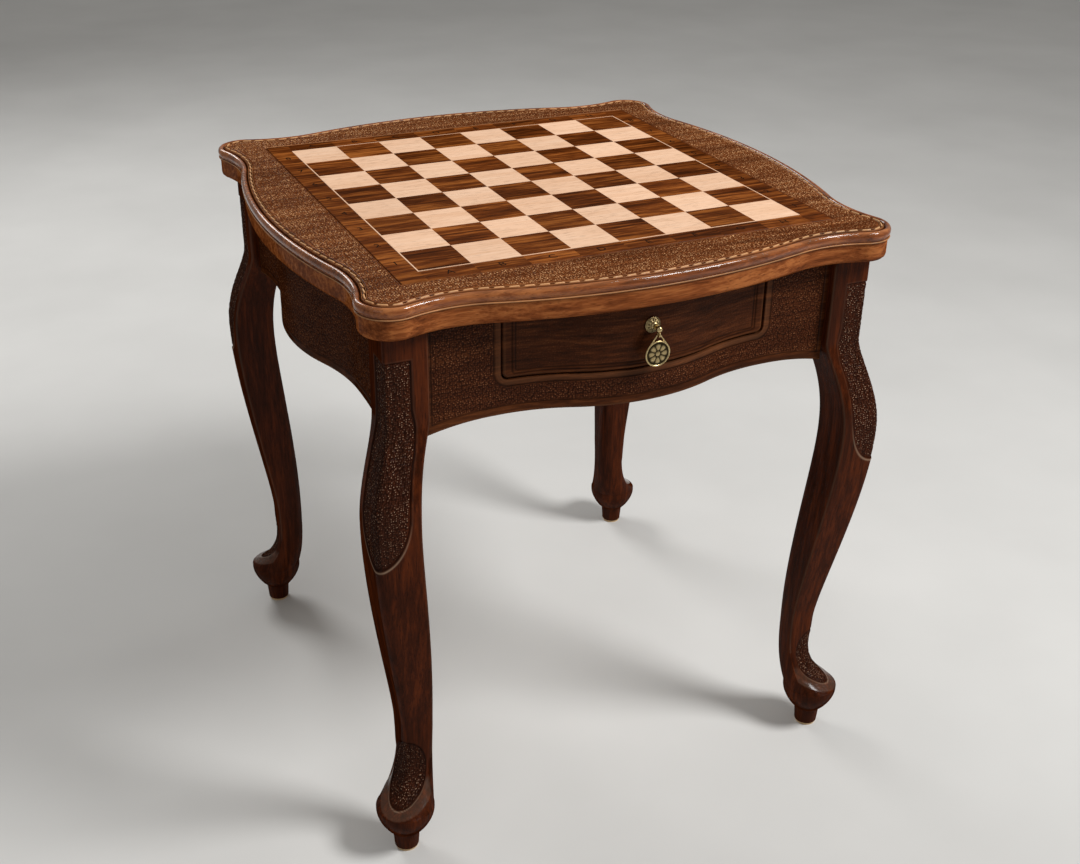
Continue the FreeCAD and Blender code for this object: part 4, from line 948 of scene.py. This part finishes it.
def swept(name, path, radius, sides=14):
    """Round wire along an open path in the plane of the pendant, with closed ends."""
    along = np.gradient(path, axis=0)
    along /= np.hypot(*along.T)[:, None]
    across = np.column_stack((along[:, 1], -along[:, 0]))
    angle = np.arange(sides) * 2 * np.pi / sides
    points = []
    for place, normal in zip(path, across):
        flat = place + radius * np.cos(angle)[:, None] * normal
        points.append(np.column_stack((flat[:, 0], EYE_Y + radius * np.sin(angle), flat[:, 1])))
    return solid(name, np.concatenate(points), capped_faces(len(points), sides))


def make_bail():
    """Wire that hangs in the eye and runs down on to the ring on both sides."""
    apex = np.array((0.0, pendant_high[2] - WIRE - APEX))
    ring = np.array((0.0, RING_HEIGHT))
    far = apex[1] - ring[1]
    lean = math.asin((RING_RADIUS - APEX) / far)
    turn = np.linspace(lean, math.pi - lean, 33)
    crown = apex + APEX * np.stack((np.cos(turn), np.sin(turn)), axis=-1)
    foot = ring + RING_RADIUS * np.array((math.cos(lean), math.sin(lean)))
    share = np.linspace(0, 1, 12)[:-1, None]
    right = foot + (crown[0] - foot) * share
    below = np.linspace(lean - 0.35, lean, 8)[:-1]
    bend = ring + RING_RADIUS * np.stack((np.cos(below), np.sin(below)), axis=-1)
    half = np.concatenate((bend, right))
    path = np.concatenate((half, crown, half[::-1] * (-1, 1)))
    item = swept("pendant_bail", path, WIRE * BAIL_SHARE)
    paint(item, shade=np.zeros(len(item.data.vertices)))
    settle(item, PENDANT, "pull_brass", brass, "pull_pendant")


def make_medallion():
    """Disc in a wire ring with the same eight-petal rose on both faces."""
    petal = np.abs(np.cos(PETALS / 2 * PULL_TURNS)) ** 0.8
    profile = []
    for share in np.linspace(0.02, DISC_EDGE, 40):
        leaf = petal * np.sin(np.pi * np.clip((share - 0.2) / 0.66, 0, 1))
        boss = np.sqrt(np.clip(1 - (share / 0.19) ** 2, 0, 1))
        shade = 1 - 0.75 * np.maximum(ease(0.15, 0.8, leaf), ease(0.0, 0.5, boss))
        profile.append((RING_RADIUS * share, DISC_HALF + ROSE_RELIEF * np.maximum(leaf, boss), shade))
    inner, outer = np.linspace(math.pi - 0.45, math.pi / 2, 6), np.linspace(math.pi / 2, 0, 7)[1:]
    for turn in (*inner, *outer):
        profile.append((RING_RADIUS + WIRE * math.cos(turn), WIRE * math.sin(turn), 0.0))
    profile += [(radius, -reach, shade) for radius, reach, shade in profile[-2::-1]]
    settle(turned("pendant_medallion", profile, EYE_Y, RING_HEIGHT), PENDANT, "pull_brass", brass)


make_rosette()
make_bail()
make_medallion()


# CAD nodes that show as they are
blocks = ["corner_block_" + corner for corner in CORNERS]
felts = ["felt_pad_" + corner for corner in CORNERS]
paired = ("drawer_side", "runner", "guide", "kicker")
pairs = [part + side for part in paired for side in ("_left", "_right")]
PLAIN = (
    (dark_veneer, ["dark_squares"]),
    (light_veneer, ["light_squares", "stringing"]),
    (bare_wood["x"], ["board_core", "drawer_back", "drawer_bottom", "drawer_stops", *blocks]),
    (bare_wood["y"], pairs),
    (brass, ["pull_post"]),
    (steel, ["pull_washer", "pull_nut", "top_screws", "kicker_screws"]),
    (tan_felt, felts),
)
for material, names in PLAIN:
    for name in names:
        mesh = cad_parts[name].data
        mesh.materials.clear()
        mesh.materials.append(material)


# Stage, light and camera
# Sizes and places here are in metres
FLOOR_HALF, AIM = 14.0, (0, 0, 0.4)
STUDIO_COLOUR, STUDIO_STRENGTH = (1.0, 0.98, 0.95, 1), 0.28
# Place, width and power of each light
LIGHTS = {
    "key": ((1.5, -1.5, 2.5), 1.0, 80),
    "fill": ((-2.2, -1.6, 1.5), 1.4, 3),
    "rim": ((-0.6, 2.2, 2.0), 1.2, 30),
}
# Focal length and sensor width in millimetres, then place and angles in radians
FOCUS, SENSOR = 46.233, 36.0
CAMERA_PLACE = (-0.5907, -1.2872, 1.0549)
CAMERA_TURN, CAMERA_TILT, CAMERA_ROLL = 0.4397, 0.482, 0.015


def make_stage():
    """Pale floor under the table."""
    mesh = bpy.data.meshes.new("floor")
    corners = [(x * FLOOR_HALF, y * FLOOR_HALF, 0) for x, y in ((-1, -1), (1, -1), (1, 1), (-1, 1))]
    mesh.from_pydata(corners, [], [(0, 1, 2, 3)])
    floor = bpy.data.objects.new("floor", mesh)
    bpy.context.scene.collection.objects.link(floor)
    material, tree, shader = new_material("pale_floor")
    place = node(tree, "TexCoord").outputs["Object"]
    cloud = noise(tree, place, 3.0, 4.0, 0.5)
    colour = ramp(tree, cloud, (0.3, tone(206, 205, 202)), (0.7, tone(214, 213, 210)))
    tree.links.new(colour, shader.inputs["Base Color"])
    shader.inputs["Roughness"].default_value = 0.75
    mesh.materials.append(material)


def add_light(name, place, size, power):
    """Round area light turned to the table."""
    data = bpy.data.lights.new(name, "AREA")
    data.shape = "DISK"
    data.size = size
    data.energy = power
    item = bpy.data.objects.new(name, data)
    item.location = place
    item.rotation_euler = (Vector(AIM) - Vector(place)).to_track_quat("-Z", "Y").to_euler()
    bpy.context.scene.collection.objects.link(item)


def make_lights():
    """Even studio light with a key, a weak fill and a rim light."""
    world = bpy.data.worlds.new("studio")
    bpy.context.scene.world = world
    world.use_nodes = True
    background = world.node_tree.nodes["Background"]
    background.inputs["Color"].default_value = STUDIO_COLOUR
    background.inputs["Strength"].default_value = STUDIO_STRENGTH
    for name, settings in LIGHTS.items():
        add_light(name, *settings)


def make_camera():
    """Camera that stands where the photo was taken."""
    data = bpy.data.cameras.new("camera")
    data.lens, data.sensor_width, data.sensor_fit = FOCUS, SENSOR, "HORIZONTAL"
    camera = bpy.data.objects.new("camera", data)
    turn, tilt = CAMERA_TURN, CAMERA_TILT
    back = Vector((-math.sin(turn) * math.cos(tilt), -math.cos(turn) * math.cos(tilt), math.sin(tilt)))
    level = Vector((math.cos(turn), -math.sin(turn), 0))
    plumb = back.cross(level)
    right = math.cos(CAMERA_ROLL) * level + math.sin(CAMERA_ROLL) * plumb
    up = math.cos(CAMERA_ROLL) * plumb - math.sin(CAMERA_ROLL) * level
    pose = Matrix((right, up, back)).transposed().to_4x4()
    pose.translation = CAMERA_PLACE
    camera.matrix_world = pose
    bpy.context.scene.collection.objects.link(camera)
    bpy.context.scene.camera = camera


make_stage()
make_lights()
make_camera()
bpy.context.scene.view_settings.view_transform = "Standard"
